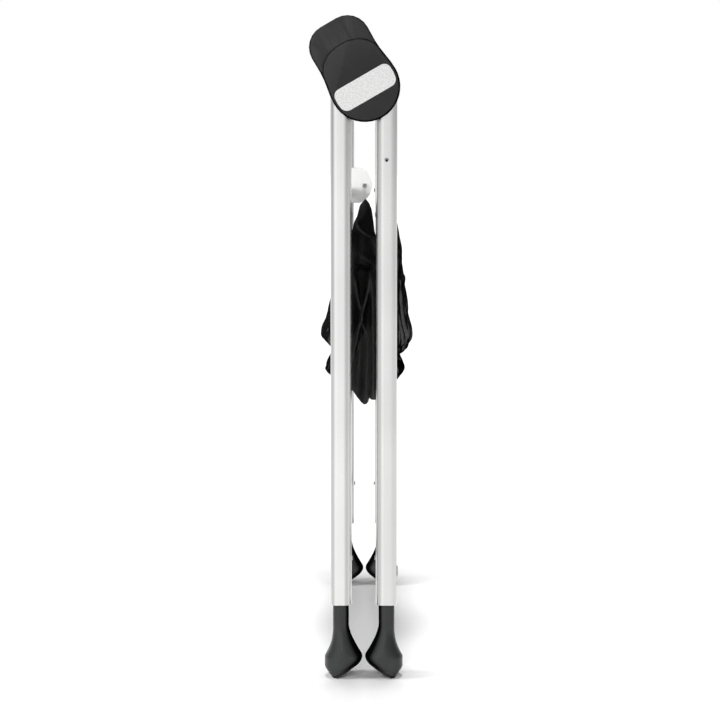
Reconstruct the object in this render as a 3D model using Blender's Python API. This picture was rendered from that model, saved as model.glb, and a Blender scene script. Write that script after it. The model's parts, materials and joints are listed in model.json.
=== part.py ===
# Folding bassinet stand, folded flat and standing upright on its four feet.
#
# Two leg frames meet at a round hub at each end. The left frame is fixed to both hubs, and the
# right frame turns about the hub pins until it is the left one's mirror image about the hubs.
# X runs across the folded legs, Y runs along the hinge axis from the near hub to the far hub, and
# Z is up. The origin is on the floor, under the pivot. Lengths are in metres.
import math

import bmesh
import bpy
from mathutils import Vector

# Whole frame
PIVOT_HEIGHT = 0.712
HUB_SPACING = 0.520
LEG_OFFSET = 0.027
FOLD_ANGLE = math.radians(60)

# Leg tubes
TUBE_WIDTH = 0.025
TUBE_DEPTH = 0.032
TUBE_WALL = 0.0018
TUBE_CORNER = 0.0085
TUBE_TOP_DROP = 0.0125
TUBE_BOTTOM_HEIGHT = 0.0885

# Clearances
FIT_GAP = 0.0003
SWING_GAP = 0.001
CUT_MARGIN = 0.001

# Hub casing, in its own frame: u runs up the hub, v across it and w outwards from the tubes
HUB_ROUND_RADIUS = 0.0418
HUB_ROUND_DROP = 0.0025
HUB_WAIST_HALF = 0.0373
HUB_WAIST_RISE = 0.038
HUB_TOP_HALF = 0.0376
HUB_TOP_RISE = 0.0835
HUB_TOP_CORNER = 0.027
HUB_WALL = 0.0025
HUB_BACK_SKIN = 0.005
HUB_FRONT_SKIN = 0.004
HUB_POST_SPACE = 0.0145
HUB_POST_FLOOR_RISE = 0.021
HUB_EDGE_ROUND = 0.003
LEG_SPACE_RISE = 0.014
BOSS_HEIGHT = 0.007
BOSS_ARCH_START = 0.022
BOSS_ARCH_TOP = 0.0548
BOSS_ARCH_POWER = 2.2
BOSS_INSET = 0.0012
BOSS_EDGE_ROUND = 0.002
BOSS_ROOT = 0.0012
DISH_RADIUS = 0.105
DISH_DEPTH = 0.0014
DISH_SLOPE = 0.0030
CATCH_WIDTH = 0.024
CATCH_HEIGHT = 0.007
CATCH_DEPTH = 0.003
CATCH_RISE = 0.070

# Badge plate
BADGE_TOP = 0.0103
BADGE_BOTTOM = -0.018
BADGE_RADIUS = 0.0378
BADGE_CORNER = 0.0064
BADGE_THICKNESS = 0.0013
BADGE_PROUD = 0.0003

# Pivot
BOSS_RADIUS = 0.016
TONGUE_HALF = 0.0077
PIN_RADIUS = 0.005
PIN_HEAD_RADIUS = 0.007
PIN_HEAD_HEIGHT = 0.0024
PIN_CHAMFER = 0.0006
WASHER_THICKNESS = 0.001
SEAT_RADIUS = 0.012
CHEEK_STEP = 0.0005
SHOULDER_HEIGHT = 0.003
SPIGOT_LENGTH = 0.092
ARM_INSET = 0.0025

# Lock
LOCK_RADIUS = 0.0105
STEM_RADIUS = 0.0016
COLLAR_RADIUS = 0.0026
COLLAR_LENGTH = 0.0055
LOCK_TRAVEL = 0.003
BUTTON_RADIUS = 0.006
BUTTON_PROUD = 0.0035
BUTTON_ENTRY = 0.0003
BUTTON_EDGE = 0.0008
BUTTON_DISH = 0.0006
BUTTON_SOCKET_RISE = 0.0014
SPRING_RADIUS = 0.0021
SPRING_WIRE = 0.00035
SPRING_TURNS = 4
SPRING_POCKET_DEPTH = 0.001

# Screws and rivets
SCREW_RADIUS = 0.0017
SCREW_HEAD_RADIUS = 0.0034
SCREW_HEAD_HEIGHT = 0.0024
SCREW_BITE = 0.0028
SCREW_SOCKET_RADIUS = 0.0013
SCREW_SOCKET_DEPTH = 0.0012
SCREW_SPREAD = 0.021
SCREW_RISE = 0.056
RIVET_RADIUS = 0.0015
RIVET_HEAD_RADIUS = 0.0032
RIVET_HEAD_HEIGHT = 0.0012
RIVET_RIM_SHARE = 0.3
RIVET_CROWN_SHARE = 0.7
RIVET_DIMPLE = 0.0011
RIVET_TAIL = 0.0018
LEG_RIVET_DROP = 0.089
LEG_RIVET_GRIP = 0.0064

# Post core, inside the casing's upper end
POST_RIB = 0.003
POST_FLOOR_RISE = 0.022

# Cross bars
RAIL_DROP = 0.154
RAIL_RADIUS = 0.006
RAIL_WALL = 0.0012
BAR_HEIGHT = 0.144
BAR_RADIUS = 0.008
BAR_WALL = 0.0015
BAR_INSERT = 0.020

# Feet
PLUG_LENGTH = 0.036
PLUG_LIFT = 0.003
PLUG_CHAMFER = 0.001
NECK_WIDTH = 0.0172
NECK_DEPTH = 0.025
NECK_SHIFT = 0.0018
NECK_END_HEIGHT = 0.077
FOOT_DEPTH = 0.042
FOOT_OUTER = 0.0200
FOOT_INNER = 0.0252
FOOT_WIDEST_HEIGHT = 0.0315
FOOT_OUTER_START = 0.2
FOOT_INNER_FLARE = 1.08
FOOT_INNER_POWER = 1.8
FOOT_ROUNDING_HEIGHT = 0.0285
FOOT_ROUNDING = 0.0282
FOOT_INNER_LEAST = 0.013
FOOT_TIP_HEIGHT = 0.021
FOOT_TIP_SHIFT = 0.0132
FOOT_TIP_FLAT = 0.0013
FOOT_TIP_POWER = 1.4
FOOT_CORNER = 0.008
NECK_CORNER = 0.006
TIP_CORNER = 0.005
TIP_NARROWING = 0.006
SOLE_THICKNESS = 0.003

# Rail keeper
KEEPER_RISE = 0.008
KEEPER_RADIUS = 0.026
KEEPER_REACH = 0.0107
KEEPER_SPREAD = math.radians(70)
KEEPER_THICKNESS = 0.003
KEEPER_MARGIN = 0.004

# Cloth basket, gathered between the folded legs. Its levels rise one from another from the bottom.
CLOTH_LEG_GAP = 0.012
CLOTH_SLEEVE = 0.0035
CLOTH_DEPTH = 0.246
CLOTH_BELLY_DROP = 0.012
CLOTH_FOLD_HALF = 0.0115
CLOTH_HIDDEN_HALF = 0.01125
CLOTH_UPPER_LOBE_LEFT = 0.0564
CLOTH_UPPER_LOBE_RIGHT = 0.0643
CLOTH_LOWER_LOBE = 0.0524
CLOTH_LOWER_LOBE_RISE = 0.025
CLOTH_NOTCH_RISE = 0.019
CLOTH_SHOULDER_RISE = 0.017
CLOTH_UPPER_LOBE_RISE = 0.012
CLOTH_FLARE_RISE = 0.053
CLOTH_FLAT_RISE = 0.062
# How far each level of the outer line stands out, as a share of its lobe's reach
CLOTH_NOTCH_SHARE = 0.3
CLOTH_SHOULDER_SHARE = 0.85
CLOTH_FLARE_SHARE = 0.65
CLOTH_FLAT_SHARE = 0.2
# The inner line, beside the middle fold, and the rounded hem below it
CLOTH_INNER_TOP_DROP = 0.030
CLOTH_INNER_TOP_EASE = 0.003
CLOTH_INNER_DROP = 0.080
CLOTH_HEM_RISE = 0.030
CLOTH_HEM_ROUND = 0.004
CLOTH_HEM_SHIFT = 0.0027
CLOTH_HEM_SHOULDER = 0.010
# The peaks of the middle fold, one at each end, with the fold drooping between them
CLOTH_PEAK_RISE = 0.015
CLOTH_PEAK_DROOP = 0.030
CLOTH_PEAK_START = 0.035
CLOTH_PEAK_SHOULDER = 0.008
CLOTH_SHOULDER_WIDTH_SHARE = 0.75
CLOTH_PEAK_WIDTH_SHARE = 0.3

# Worked out from the sizes above
HUB_TILT = FOLD_ANGLE / 2
LEG_PLANE = HUB_SPACING / 2
TUBE_HALF_DEPTH = TUBE_DEPTH / 2
SKIN_INSIDE = TUBE_HALF_DEPTH + SWING_GAP
CHEEK_OUTSIDE = TUBE_HALF_DEPTH - CHEEK_STEP
CHEEK_INSIDE = TONGUE_HALF + FIT_GAP
FRONT_LEVEL = SKIN_INSIDE + HUB_FRONT_SKIN
BOSS_LEVEL = FRONT_LEVEL + BOSS_HEIGHT
BACK_LEVEL = SKIN_INSIDE + HUB_BACK_SKIN
INNER_FACE = LEG_OFFSET - TUBE_WIDTH / 2
BORE_WIDTH = TUBE_WIDTH - 2 * TUBE_WALL
BORE_DEPTH = TUBE_DEPTH - 2 * TUBE_WALL
BORE_CORNER = TUBE_CORNER - TUBE_WALL
PIN_UNDER_HEAD = CHEEK_OUTSIDE + 2 * FIT_GAP + WASHER_THICKNESS
BADGE_FACE = BOSS_LEVEL + BADGE_PROUD
SPRING_START = CHEEK_INSIDE + COLLAR_LENGTH + FIT_GAP
SPRING_END = FRONT_LEVEL + SPRING_POCKET_DEPTH
SCREW_TIP = HUB_POST_SPACE + SCREW_BITE
CLOTH_END = LEG_PLANE - TUBE_HALF_DEPTH - CLOTH_LEG_GAP
RAIL_HEIGHT = PIVOT_HEIGHT - RAIL_DROP
KEEPER_HEIGHT = RAIL_HEIGHT + KEEPER_RISE
CLOTH_BOTTOM = RAIL_HEIGHT - CLOTH_DEPTH
CROSS_BARS = (("basket_rail", RAIL_HEIGHT, RAIL_RADIUS, RAIL_WALL),
              ("lower_bar", BAR_HEIGHT, BAR_RADIUS, BAR_WALL))
HUBS = {"near": -1, "far": 1}
LEGS = {"left": -1, "right": 1}


def clear_scene():
    for obj in list(bpy.data.objects):
        bpy.data.objects.remove(obj, do_unlink=True)


def make_material(name, colour, roughness, metallic=0.0):
    material = bpy.data.materials.new(name)
    material.use_nodes = True
    shader = material.node_tree.nodes["Principled BSDF"]
    shader.inputs["Base Color"].default_value = (*colour, 1.0)
    shader.inputs["Roughness"].default_value = roughness
    shader.inputs["Metallic"].default_value = metallic
    material.diffuse_color = (*colour, 1.0)
    return material


def make_empty(name, location, tilt=0.0):
    empty = bpy.data.objects.new(name, None)
    empty.location = location
    empty.rotation_euler = (0.0, tilt, 0.0)
    bpy.context.scene.collection.objects.link(empty)
    return empty


def make_object(name, bm, material=None, parent=None, location=(0.0, 0.0, 0.0)):
    # The mesh is written in its parent's frame, and the origin is then moved to the location.
    bmesh.ops.remove_doubles(bm, verts=bm.verts, dist=1e-6)
    bmesh.ops.recalc_face_normals(bm, faces=bm.faces)
    bmesh.ops.translate(bm, vec=-Vector(location), verts=bm.verts)
    mesh = bpy.data.meshes.new(name)
    bm.to_mesh(mesh)
    bm.free()
    mesh.shade_smooth()
    mesh.set_sharp_from_angle(angle=math.radians(32))
    obj = bpy.data.objects.new(name, mesh)
    obj.parent = parent
    obj.location = location
    if material:
        mesh.materials.append(material)
    bpy.context.scene.collection.objects.link(obj)
    return obj


def add_boolean(target, name, bm, operation="DIFFERENCE", parent=None):
    tool = make_object(f"tool_{target.name}_{name}", bm, parent=parent or target.parent)
    tool.hide_render = True
    tool.display_type = "WIRE"
    modifier = target.modifiers.new(name, "BOOLEAN")
    modifier.operation = operation
    modifier.solver = "EXACT"
    modifier.object = tool


def polar(centre, radius, angle):
    return (centre[0] + radius * math.cos(angle), centre[1] + radius * math.sin(angle))


def arc(centre, radius, start, end, steps):
    turns = [start + (end - start) * step / steps for step in range(steps + 1)]
    return [polar(centre, radius, turn) for turn in turns]


def circle(centre, radius, steps=20):
    return arc(centre, radius, 0.0, math.tau, steps)[:-1]


def rounded_rectangle(centre, width, depth, corner, steps=3):
    points = []
    for number, (side_x, side_y) in enumerate(((1, 1), (-1, 1), (-1, -1), (1, -1))):
        middle = (centre[0] + side_x * (width / 2 - corner), centre[1] + side_y * (depth / 2 - corner))
        start = number * math.pi / 2
        points += arc(middle, corner, start, start + math.pi / 2, steps)
    return points


def tangent_angle(point, radius, turn):
    # Where on a circle about the origin a line from an outside point touches it.
    spread = math.acos(radius / math.hypot(*point))
    return math.atan2(point[1], point[0]) + turn * spread


def ring(bm, points):
    verts = [bm.verts.new(point) for point in points]
    return [bm.edges.new((vert, verts[number - 1])) for number, vert in enumerate(verts)]


def loft(bm, rings):
    # Skins closed rings one after another, point to point, and caps the first and the last.
    loops = [[bm.verts.new(point) for point in points] for points in rings]
    for lower, upper in zip(loops, loops[1:]):
        for number in range(len(lower)):
            bm.faces.new((lower[number - 1], lower[number], upper[number], upper[number - 1]))
    bm.faces.new(loops[0])
    bm.faces.new(loops[-1])


def side_prism(bm, outline, start, end):
    # An outline in X and Z, pushed along Y.
    face = bm.faces.new([bm.verts.new((x, start, z)) for x, z in outline])
    moved = bmesh.ops.extrude_face_region(bm, geom=[face])
    verts = [item for item in moved["geom"] if isinstance(item, bmesh.types.BMVert)]
    bmesh.ops.translate(bm, vec=(0.0, end - start, 0.0), verts=verts)
    return [item for item in moved["geom"] if isinstance(item, bmesh.types.BMFace)][0]


def plan_prism(bm, outline, start, end):
    # An outline in X and Y, pushed along Z.
    face = bm.faces.new([bm.verts.new((x, y, start)) for x, y in outline])
    moved = bmesh.ops.extrude_face_region(bm, geom=[face])
    verts = [item for item in moved["geom"] if isinstance(item, bmesh.types.BMVert)]
    bmesh.ops.translate(bm, vec=(0.0, 0.0, end - start), verts=verts)


def block(bm, low, high):
    outline = [(low[0], low[2]), (high[0], low[2]), (high[0], high[2]), (low[0], high[2])]
    side_prism(bm, outline, low[1], high[1])


def round_edges(bm, face, width, steps=2):
    bmesh.ops.bevel(bm, geom=list(face.edges), offset=width, segments=steps, profile=0.5,
                    affect="EDGES", clamp_overlap=True)


def turned(bm, profile, axis_point, direction, steps=20):
    # Spins a profile of (radius, distance along the axis) pairs about the axis.
    along = Vector(direction).normalized()
    outwards = along.orthogonal().normalized()
    origin = Vector(axis_point)
    verts = [bm.verts.new(origin + outwards * radius + along * travel) for radius, travel in profile]
    edges = [bm.edges.new(pair) for pair in zip(verts, verts[1:])]
    bmesh.ops.spin(bm, geom=verts + edges, cent=origin, axis=along, angle=math.tau, steps=steps,
                   use_merge=True)
    bmesh.ops.remove_doubles(bm, verts=bm.verts, dist=1e-6)


def cylinder(bm, axis_point, direction, radius, start, end, steps=16):
    turned(bm, [(0.0, start), (radius, start), (radius, end), (0.0, end)], axis_point, direction, steps)


def hollow_prism(bm, outer, inner, start, end, upright=True):
    # A tube between two outlines with the same number of points.
    def place(point, along):
        return (point[0], point[1], along) if upright else (point[0], along, point[1])

    outer_loop = ring(bm, [place(point, start) for point in outer])
    inner_loop = ring(bm, [place(point, start) for point in inner])
    faces = bmesh.ops.bridge_loops(bm, edges=outer_loop + inner_loop)["faces"]
    moved = bmesh.ops.extrude_face_region(bm, geom=faces)
    verts = [item for item in moved["geom"] if isinstance(item, bmesh.types.BMVert)]
    bmesh.ops.translate(bm, vec=place((0.0, 0.0), end - start), verts=verts)


# Hub casing

def ease(value):
    return 0.5 - 0.5 * math.cos(math.pi * min(max(value, 0.0), 1.0))


def hub_flank(inset=0.0, round_steps=10):
    # The right side of the casing's outline from its lowest point to its top, as (v, u) pairs.
    round_centre = (0.0, -HUB_ROUND_DROP)
    points = arc(round_centre, HUB_ROUND_RADIUS - inset, -math.pi / 2, 0.0, round_steps)
    corner_centre = (HUB_TOP_HALF - HUB_TOP_CORNER, HUB_TOP_RISE - HUB_TOP_CORNER)
    rise = HUB_WAIST_RISE + HUB_ROUND_DROP
    for step in range(1, 5):
        share = step / 4
        half = HUB_ROUND_RADIUS + (HUB_WAIST_HALF - HUB_ROUND_RADIUS) * ease(share)
        points.append((half - inset, -HUB_ROUND_DROP + rise * share))
    points += arc(corner_centre, HUB_TOP_CORNER - inset, 0.0, math.pi / 2, 6)
    return points


def both_sides(flank):
    # Points on the centre line are kept once.
    return flank + [(-v, u) for v, u in reversed(flank) if abs(v) > 1e-9]


def flank_between(low, high, inset):
    # The part of the flank between two heights, with its ends on those heights.
    points = hub_flank(inset)
    kept = []
    for first, second in zip(points, points[1:]):
        for level in (low, high):
            if first[1] < level < second[1]:
                share = (level - first[1]) / (second[1] - first[1])
                kept.append((first[0] + (second[0] - first[0]) * share, level))
        if low < second[1] < high:
            kept.append(second)
    return sorted(kept, key=lambda point: point[1])


def flank_above(low, inset):
    kept = [point for point in hub_flank(inset) if point[1] > low]
    return [(hub_half_width(low) - inset, low)] + kept


def boss_outline():
    reach = hub_half_width(BOSS_ARCH_START)
    # Its facets are out of step with the casing's, so that no two edges meet at one point.
    low = hub_flank(BOSS_INSET, 13)
    flank = [point for point in low if point[1] < BOSS_ARCH_START - CUT_MARGIN]
    power = 2 / BOSS_ARCH_POWER
    steps = 9
    for step in range(steps):
        turn = math.pi / 2 * step / steps
        v = (reach - BOSS_INSET) * math.cos(turn) ** power
        u = BOSS_ARCH_START + (BOSS_ARCH_TOP - BOSS_ARCH_START) * math.sin(turn) ** power
        flank.append((v, u))
    return both_sides(flank + [(0.0, BOSS_ARCH_TOP)])


def hub_half_width(level):
    points = hub_flank()
    for first, second in zip(points, points[1:]):
        if first[1] <= level <= second[1]:
            share = (level - first[1]) / (second[1] - first[1])
            return first[0] + (second[0] - first[0]) * share
    return points[-1][0]


def casing_space(target, side, facing):
    # Hollows one casing half: the legs swing in the lower part, and the post fills the upper part.
    out = side * facing
    beyond = HUB_ROUND_RADIUS * 2
    legs = bmesh.new()
    parting = -out * CUT_MARGIN
    block(legs, (-beyond, parting, -beyond), (beyond, out * SKIN_INSIDE, LEG_SPACE_RISE))
    add_boolean(target, "leg_space", legs)
    upper = bmesh.new()
    flank = flank_between(LEG_SPACE_RISE - CUT_MARGIN, HUB_POST_FLOOR_RISE, HUB_WALL)
    side_prism(upper, both_sides(flank), parting, out * SKIN_INSIDE)
    add_boolean(target, "pivot_space", upper)
    post = bmesh.new()
    flank = flank_above(HUB_POST_FLOOR_RISE - CUT_MARGIN, HUB_WALL)
    side_prism(post, both_sides(flank), parting, out * HUB_POST_SPACE)
    add_boolean(target, "post_space", post)


def lock_centre():
    return (0.0, LOCK_RADIUS)


def screw_places():
    return {"left": (-SCREW_SPREAD, SCREW_RISE), "right": (SCREW_SPREAD, SCREW_RISE)}


def seat_pad(target, side, facing):
    # The raised ring on which the fork's cheek bears.
    pad = bmesh.new()
    bearing = CHEEK_OUTSIDE + FIT_GAP
    cylinder(pad, (0.0, 0.0, 0.0), (0.0, side * facing, 0.0), SEAT_RADIUS, bearing,
             SKIN_INSIDE + CUT_MARGIN)
    add_boolean(target, "seat_pad", pad, "UNION")


def dish_cutter(side):
    # Scoops the post's front face: hollow across the hub, and falling away towards the hub's top.
    bm = bmesh.new()
    reach = HUB_ROUND_RADIUS + CUT_MARGIN
    start = BOSS_ARCH_START
    end = HUB_TOP_RISE + CUT_MARGIN
    fall = DISH_SLOPE / (HUB_TOP_RISE - BOSS_ARCH_TOP)
    low = FRONT_LEVEL - DISH_DEPTH + fall * (BOSS_ARCH_TOP - start)
    drop = fall * (end - start)
    steps = 10
    curve = []
    for step in range(steps + 1):
        v = reach * (2 * step / steps - 1)
        curve.append((v, low + v * v / (2 * DISH_RADIUS)))
    above = BOSS_LEVEL + drop
    curve += [(reach, above), (-reach, above)]
    loft(bm, [[(v, side * w, start) for v, w in curve],
              [(v, side * (w - drop), end) for v, w in curve]])
    return bm


def hub_cover(label, side, hub, plastic):
    bm = bmesh.new()
    front = side_prism(bm, both_sides(hub_flank()), side * FIT_GAP / 2, side * FRONT_LEVEL)
    round_edges(bm, front, HUB_EDGE_ROUND)
    cover = make_object(f"hub_cover_{label}", bm, plastic, hub)

    add_boolean(cover, "dish", dish_cutter(side))
    boss = bmesh.new()
    face = side_prism(boss, boss_outline(), side * (SKIN_INSIDE + BOSS_ROOT), side * BOSS_LEVEL)
    round_edges(boss, face, BOSS_EDGE_ROUND)
    add_boolean(cover, "boss", boss, "UNION")
    casing_space(cover, side, 1)
    seat_pad(cover, side, 1)

    outwards = (0.0, side, 0.0)
    pockets = bmesh.new()
    head_top = PIN_UNDER_HEAD + PIN_HEAD_HEIGHT + FIT_GAP
    cylinder(pockets, (0.0, 0.0, 0.0), outwards, PIN_HEAD_RADIUS + 2 * FIT_GAP, 0.0, head_top)
    add_boolean(cover, "pin_pocket", pockets)
    spring = bmesh.new()
    lock = lock_centre()
    pocket_radius = COLLAR_RADIUS + 2 * FIT_GAP
    cylinder(spring, (lock[0], 0.0, lock[1]), outwards, pocket_radius, 0.0, SPRING_END + FIT_GAP)
    add_boolean(cover, "spring_pocket", spring)

    recess = bmesh.new()
    badge_prism(recess, side, BADGE_FACE - BADGE_THICKNESS - FIT_GAP, BADGE_FACE + CUT_MARGIN, FIT_GAP)
    add_boolean(cover, "badge_recess", recess)
    holes = bmesh.new()
    for v, u in screw_places().values():
        cylinder(holes, (v, 0.0, u), outwards, SCREW_RADIUS + FIT_GAP, 0.0, SCREW_TIP, 10)
    add_boolean(cover, "screw_holes", holes)


def badge_prism(bm, side, start, end, grow=0.0):
    centre = (0.0, -HUB_ROUND_DROP)
    radius = BADGE_RADIUS + grow
    top = math.asin((BADGE_TOP + grow - centre[1]) / radius)
    bottom = math.asin((BADGE_BOTTOM - grow - centre[1]) / radius)
    right = arc(centre, radius, bottom, top, 4)
    left = arc(centre, radius, math.pi - top, math.pi - bottom, 4)
    side_prism(bm, right + left, side * start, side * end)
    corners = [right[0], right[-1], left[0], left[-1]]
    edges = []
    for edge in bm.edges:
        first, second = edge.verts
        if abs(first.co.y - second.co.y) < 1e-6:
            continue
        if any(math.dist((first.co.x, first.co.z), corner) < 1e-6 for corner in corners):
            edges.append(edge)
    bmesh.ops.bevel(bm, geom=edges, offset=BADGE_CORNER, segments=4, profile=0.5, affect="EDGES",
                    clamp_overlap=True)


def hub_badge(label, side, hub, metal):
    bm = bmesh.new()
    badge_prism(bm, side, BADGE_FACE - BADGE_THICKNESS, BADGE_FACE)
    make_object(f"hub_badge_{label}", bm, metal, hub)


def hub_back(label, side, hub, plastic):
    bm = bmesh.new()
    rear = side_prism(bm, both_sides(hub_flank()), -side * FIT_GAP / 2, -side * BACK_LEVEL)
    round_edges(bm, rear, HUB_EDGE_ROUND)
    back = make_object(f"hub_back_{label}", bm, plastic, hub)
    casing_space(back, side, -1)
    seat_pad(back, side, -1)

    inwards = (0.0, -side, 0.0)
    lock = (lock_centre()[0], 0.0, lock_centre()[1])
    bore = bmesh.new()
    floor = BACK_LEVEL - BUTTON_ENTRY - LOCK_TRAVEL - FIT_GAP
    cylinder(bore, lock, inwards, BUTTON_RADIUS + FIT_GAP, floor, BACK_LEVEL + CUT_MARGIN)
    add_boolean(back, "button_bore", bore)
    stem = bmesh.new()
    cylinder(stem, lock, inwards, STEM_RADIUS + FIT_GAP, 0.0, BACK_LEVEL, 10)
    add_boolean(back, "stem_hole", stem)

    screws = bmesh.new()
    seat = BACK_LEVEL - SCREW_HEAD_HEIGHT - FIT_GAP
    mouth = BACK_LEVEL + CUT_MARGIN
    for v, u in screw_places().values():
        profile = [(0.0, 0.0), (SCREW_RADIUS + FIT_GAP, 0.0), (SCREW_RADIUS + FIT_GAP, seat),
                   (SCREW_HEAD_RADIUS + FIT_GAP, seat), (SCREW_HEAD_RADIUS + FIT_GAP, mouth),
                   (0.0, mouth)]
        turned(screws, profile, (v, 0.0, u), inwards, 12)
    add_boolean(back, "screw_holes", screws)
    catch = bmesh.new()
    block(catch, (-CATCH_WIDTH / 2, -side * (BACK_LEVEL - CATCH_DEPTH), CATCH_RISE - CATCH_HEIGHT / 2),
          (CATCH_WIDTH / 2, -side * mouth, CATCH_RISE + CATCH_HEIGHT / 2))
    add_boolean(back, "catch_recess", catch)


def hub_screws(label, side, hub, steel):
    for name, (v, u) in screw_places().items():
        bm = bmesh.new()
        seat = -BACK_LEVEL + SCREW_HEAD_HEIGHT
        tip = SCREW_TIP - FIT_GAP
        socket = -BACK_LEVEL + SCREW_SOCKET_DEPTH
        profile = [(0.0, socket), (SCREW_SOCKET_RADIUS, socket), (SCREW_SOCKET_RADIUS, -BACK_LEVEL),
                   (SCREW_HEAD_RADIUS, -BACK_LEVEL), (SCREW_HEAD_RADIUS, seat), (SCREW_RADIUS, seat),
                   (SCREW_RADIUS, tip), (0.0, tip)]
        turned(bm, profile, (v, 0.0, u), (0.0, side, 0.0), 10)
        make_object(f"hub_screw_{name}_{label}", bm, steel, hub, (v, 0.0, u))


def post_core(label, side, hub, plastic):
    # The ribbed block that backs the casing's upper end, where the bassinet hangs.
    bm = bmesh.new()
    inset = HUB_WALL + FIT_GAP
    half = HUB_POST_SPACE - FIT_GAP
    side_prism(bm, both_sides(flank_above(POST_FLOOR_RISE, inset)), -half, half)
    core = make_object(f"post_core_{label}", bm, plastic, hub)
    pockets = bmesh.new()
    through = half + CUT_MARGIN
    low = POST_FLOOR_RISE + POST_RIB
    middle = SCREW_RISE - SCREW_HEAD_RADIUS - POST_RIB
    edge = HUB_WAIST_HALF - inset - POST_RIB
    for left, right in ((-edge, -POST_RIB / 2), (POST_RIB / 2, edge)):
        block(pockets, (left, -through, low), (right, through, middle))
    top = SCREW_RISE + SCREW_HEAD_RADIUS + POST_RIB
    inner = HUB_TOP_HALF - HUB_TOP_CORNER + POST_RIB
    block(pockets, (-inner, -through, top), (inner, through, HUB_TOP_RISE - inset - POST_RIB))
    add_boolean(core, "pockets", pockets)
    holes = bmesh.new()
    for v, u in screw_places().values():
        cylinder(holes, (v, 0.0, u), (0.0, 1.0, 0.0), SCREW_RADIUS + FIT_GAP, -through, through, 10)
    add_boolean(core, "screw_holes", holes)


# Hinge

def arm_outline(hand):
    # The hinge eye and the arm that runs from it to the shoulder on top of the leg tube.
    foot = -TUBE_TOP_DROP + FIT_GAP + SHOULDER_HEIGHT / 2
    inner = (INNER_FACE + ARM_INSET, foot)
    outer = (INNER_FACE + TUBE_WIDTH - ARM_INSET, foot)
    start = tangent_angle(outer, BOSS_RADIUS, 1)
    end = math.tau + tangent_angle(inner, BOSS_RADIUS, -1)
    outline = arc((0.0, 0.0), BOSS_RADIUS, start, end, 18) + [inner, outer]
    return [(hand * x, z) for x, z in outline]


def bore_filling(centre, inset=0.0):
    # The outline of what slides into a leg tube's end.
    gap = 2 * (FIT_GAP + inset)
    return rounded_rectangle(centre, BORE_WIDTH - gap, BORE_DEPTH - gap, BORE_CORNER - gap / 2)


def shoulder_and_spigot(bm, hand, side):
    # The shoulder that covers the tube's end and the spigot that fills its bore.
    centre = (hand * LEG_OFFSET, side * LEG_PLANE)
    seat = -TUBE_TOP_DROP + FIT_GAP
    outer = rounded_rectangle(centre, TUBE_WIDTH, TUBE_DEPTH, TUBE_CORNER)
    spigot = bore_filling(centre)
    rings = [[(x, y, -TUBE_TOP_DROP - SPIGOT_LENGTH) for x, y in spigot],
             [(x, y, seat) for x, y in spigot],
             [(x, y, seat) for x, y in outer],
             [(x, y, seat + SHOULDER_HEIGHT) for x, y in outer]]
    loft(bm, rings)


def lock_place(open_share=0.0):
    # The lock pin's place in the right frame, at rest or with the frame opened.
    angle = math.pi / 2 + HUB_TILT - FOLD_ANGLE * open_share
    return polar((0.0, 0.0), LOCK_RADIUS, angle)


def rivet_bore(hand, side, facing):
    # The hole for the rivet that holds a leg tube to its spigot.
    bm = bmesh.new()
    start = (hand * LEG_OFFSET, side * LEG_PLANE, -LEG_RIVET_DROP)
    floor = TUBE_HALF_DEPTH - LEG_RIVET_GRIP - FIT_GAP
    cylinder(bm, start, (0.0, side * facing, 0.0), RIVET_RADIUS + FIT_GAP, floor,
             TUBE_HALF_DEPTH + CUT_MARGIN, 8)
    return bm


def hinge_fork(label, side, frame, alloy):
    bm = bmesh.new()
    shoulder_and_spigot(bm, -1, side)
    fork = make_object(f"hinge_fork_{label}", bm, alloy, frame)
    plane = side * LEG_PLANE
    arm = bmesh.new()
    side_prism(arm, arm_outline(-1), plane - CHEEK_OUTSIDE, plane + CHEEK_OUTSIDE)
    add_boolean(fork, "arm", arm, "UNION")
    slot = bmesh.new()
    slot_radius = BOSS_RADIUS + SWING_GAP
    cylinder(slot, (0.0, plane, 0.0), (0.0, 1.0, 0.0), slot_radius, -CHEEK_INSIDE, CHEEK_INSIDE, 24)
    add_boolean(fork, "tongue_slot", slot)
    add_pin_bore(fork, side)
    lock_x, lock_z = lock_place()
    holes = bmesh.new()
    profile = [(0.0, -TUBE_DEPTH), (STEM_RADIUS + FIT_GAP, -TUBE_DEPTH), (STEM_RADIUS + FIT_GAP, 0.0),
               (COLLAR_RADIUS + FIT_GAP, 0.0), (COLLAR_RADIUS + FIT_GAP, TUBE_DEPTH), (0.0, TUBE_DEPTH)]
    turned(holes, profile, (lock_x, plane, lock_z), (0.0, side, 0.0), 12)
    add_boolean(fork, "lock_bores", holes)
    add_boolean(fork, "rivet_bore", rivet_bore(-1, side, -1))


def add_pin_bore(target, side):
    bore = bmesh.new()
    cylinder(bore, (0.0, side * LEG_PLANE, 0.0), (0.0, 1.0, 0.0), PIN_RADIUS + FIT_GAP,
             -TUBE_DEPTH, TUBE_DEPTH, 20)
    add_boolean(target, "pin_bore", bore)


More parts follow.
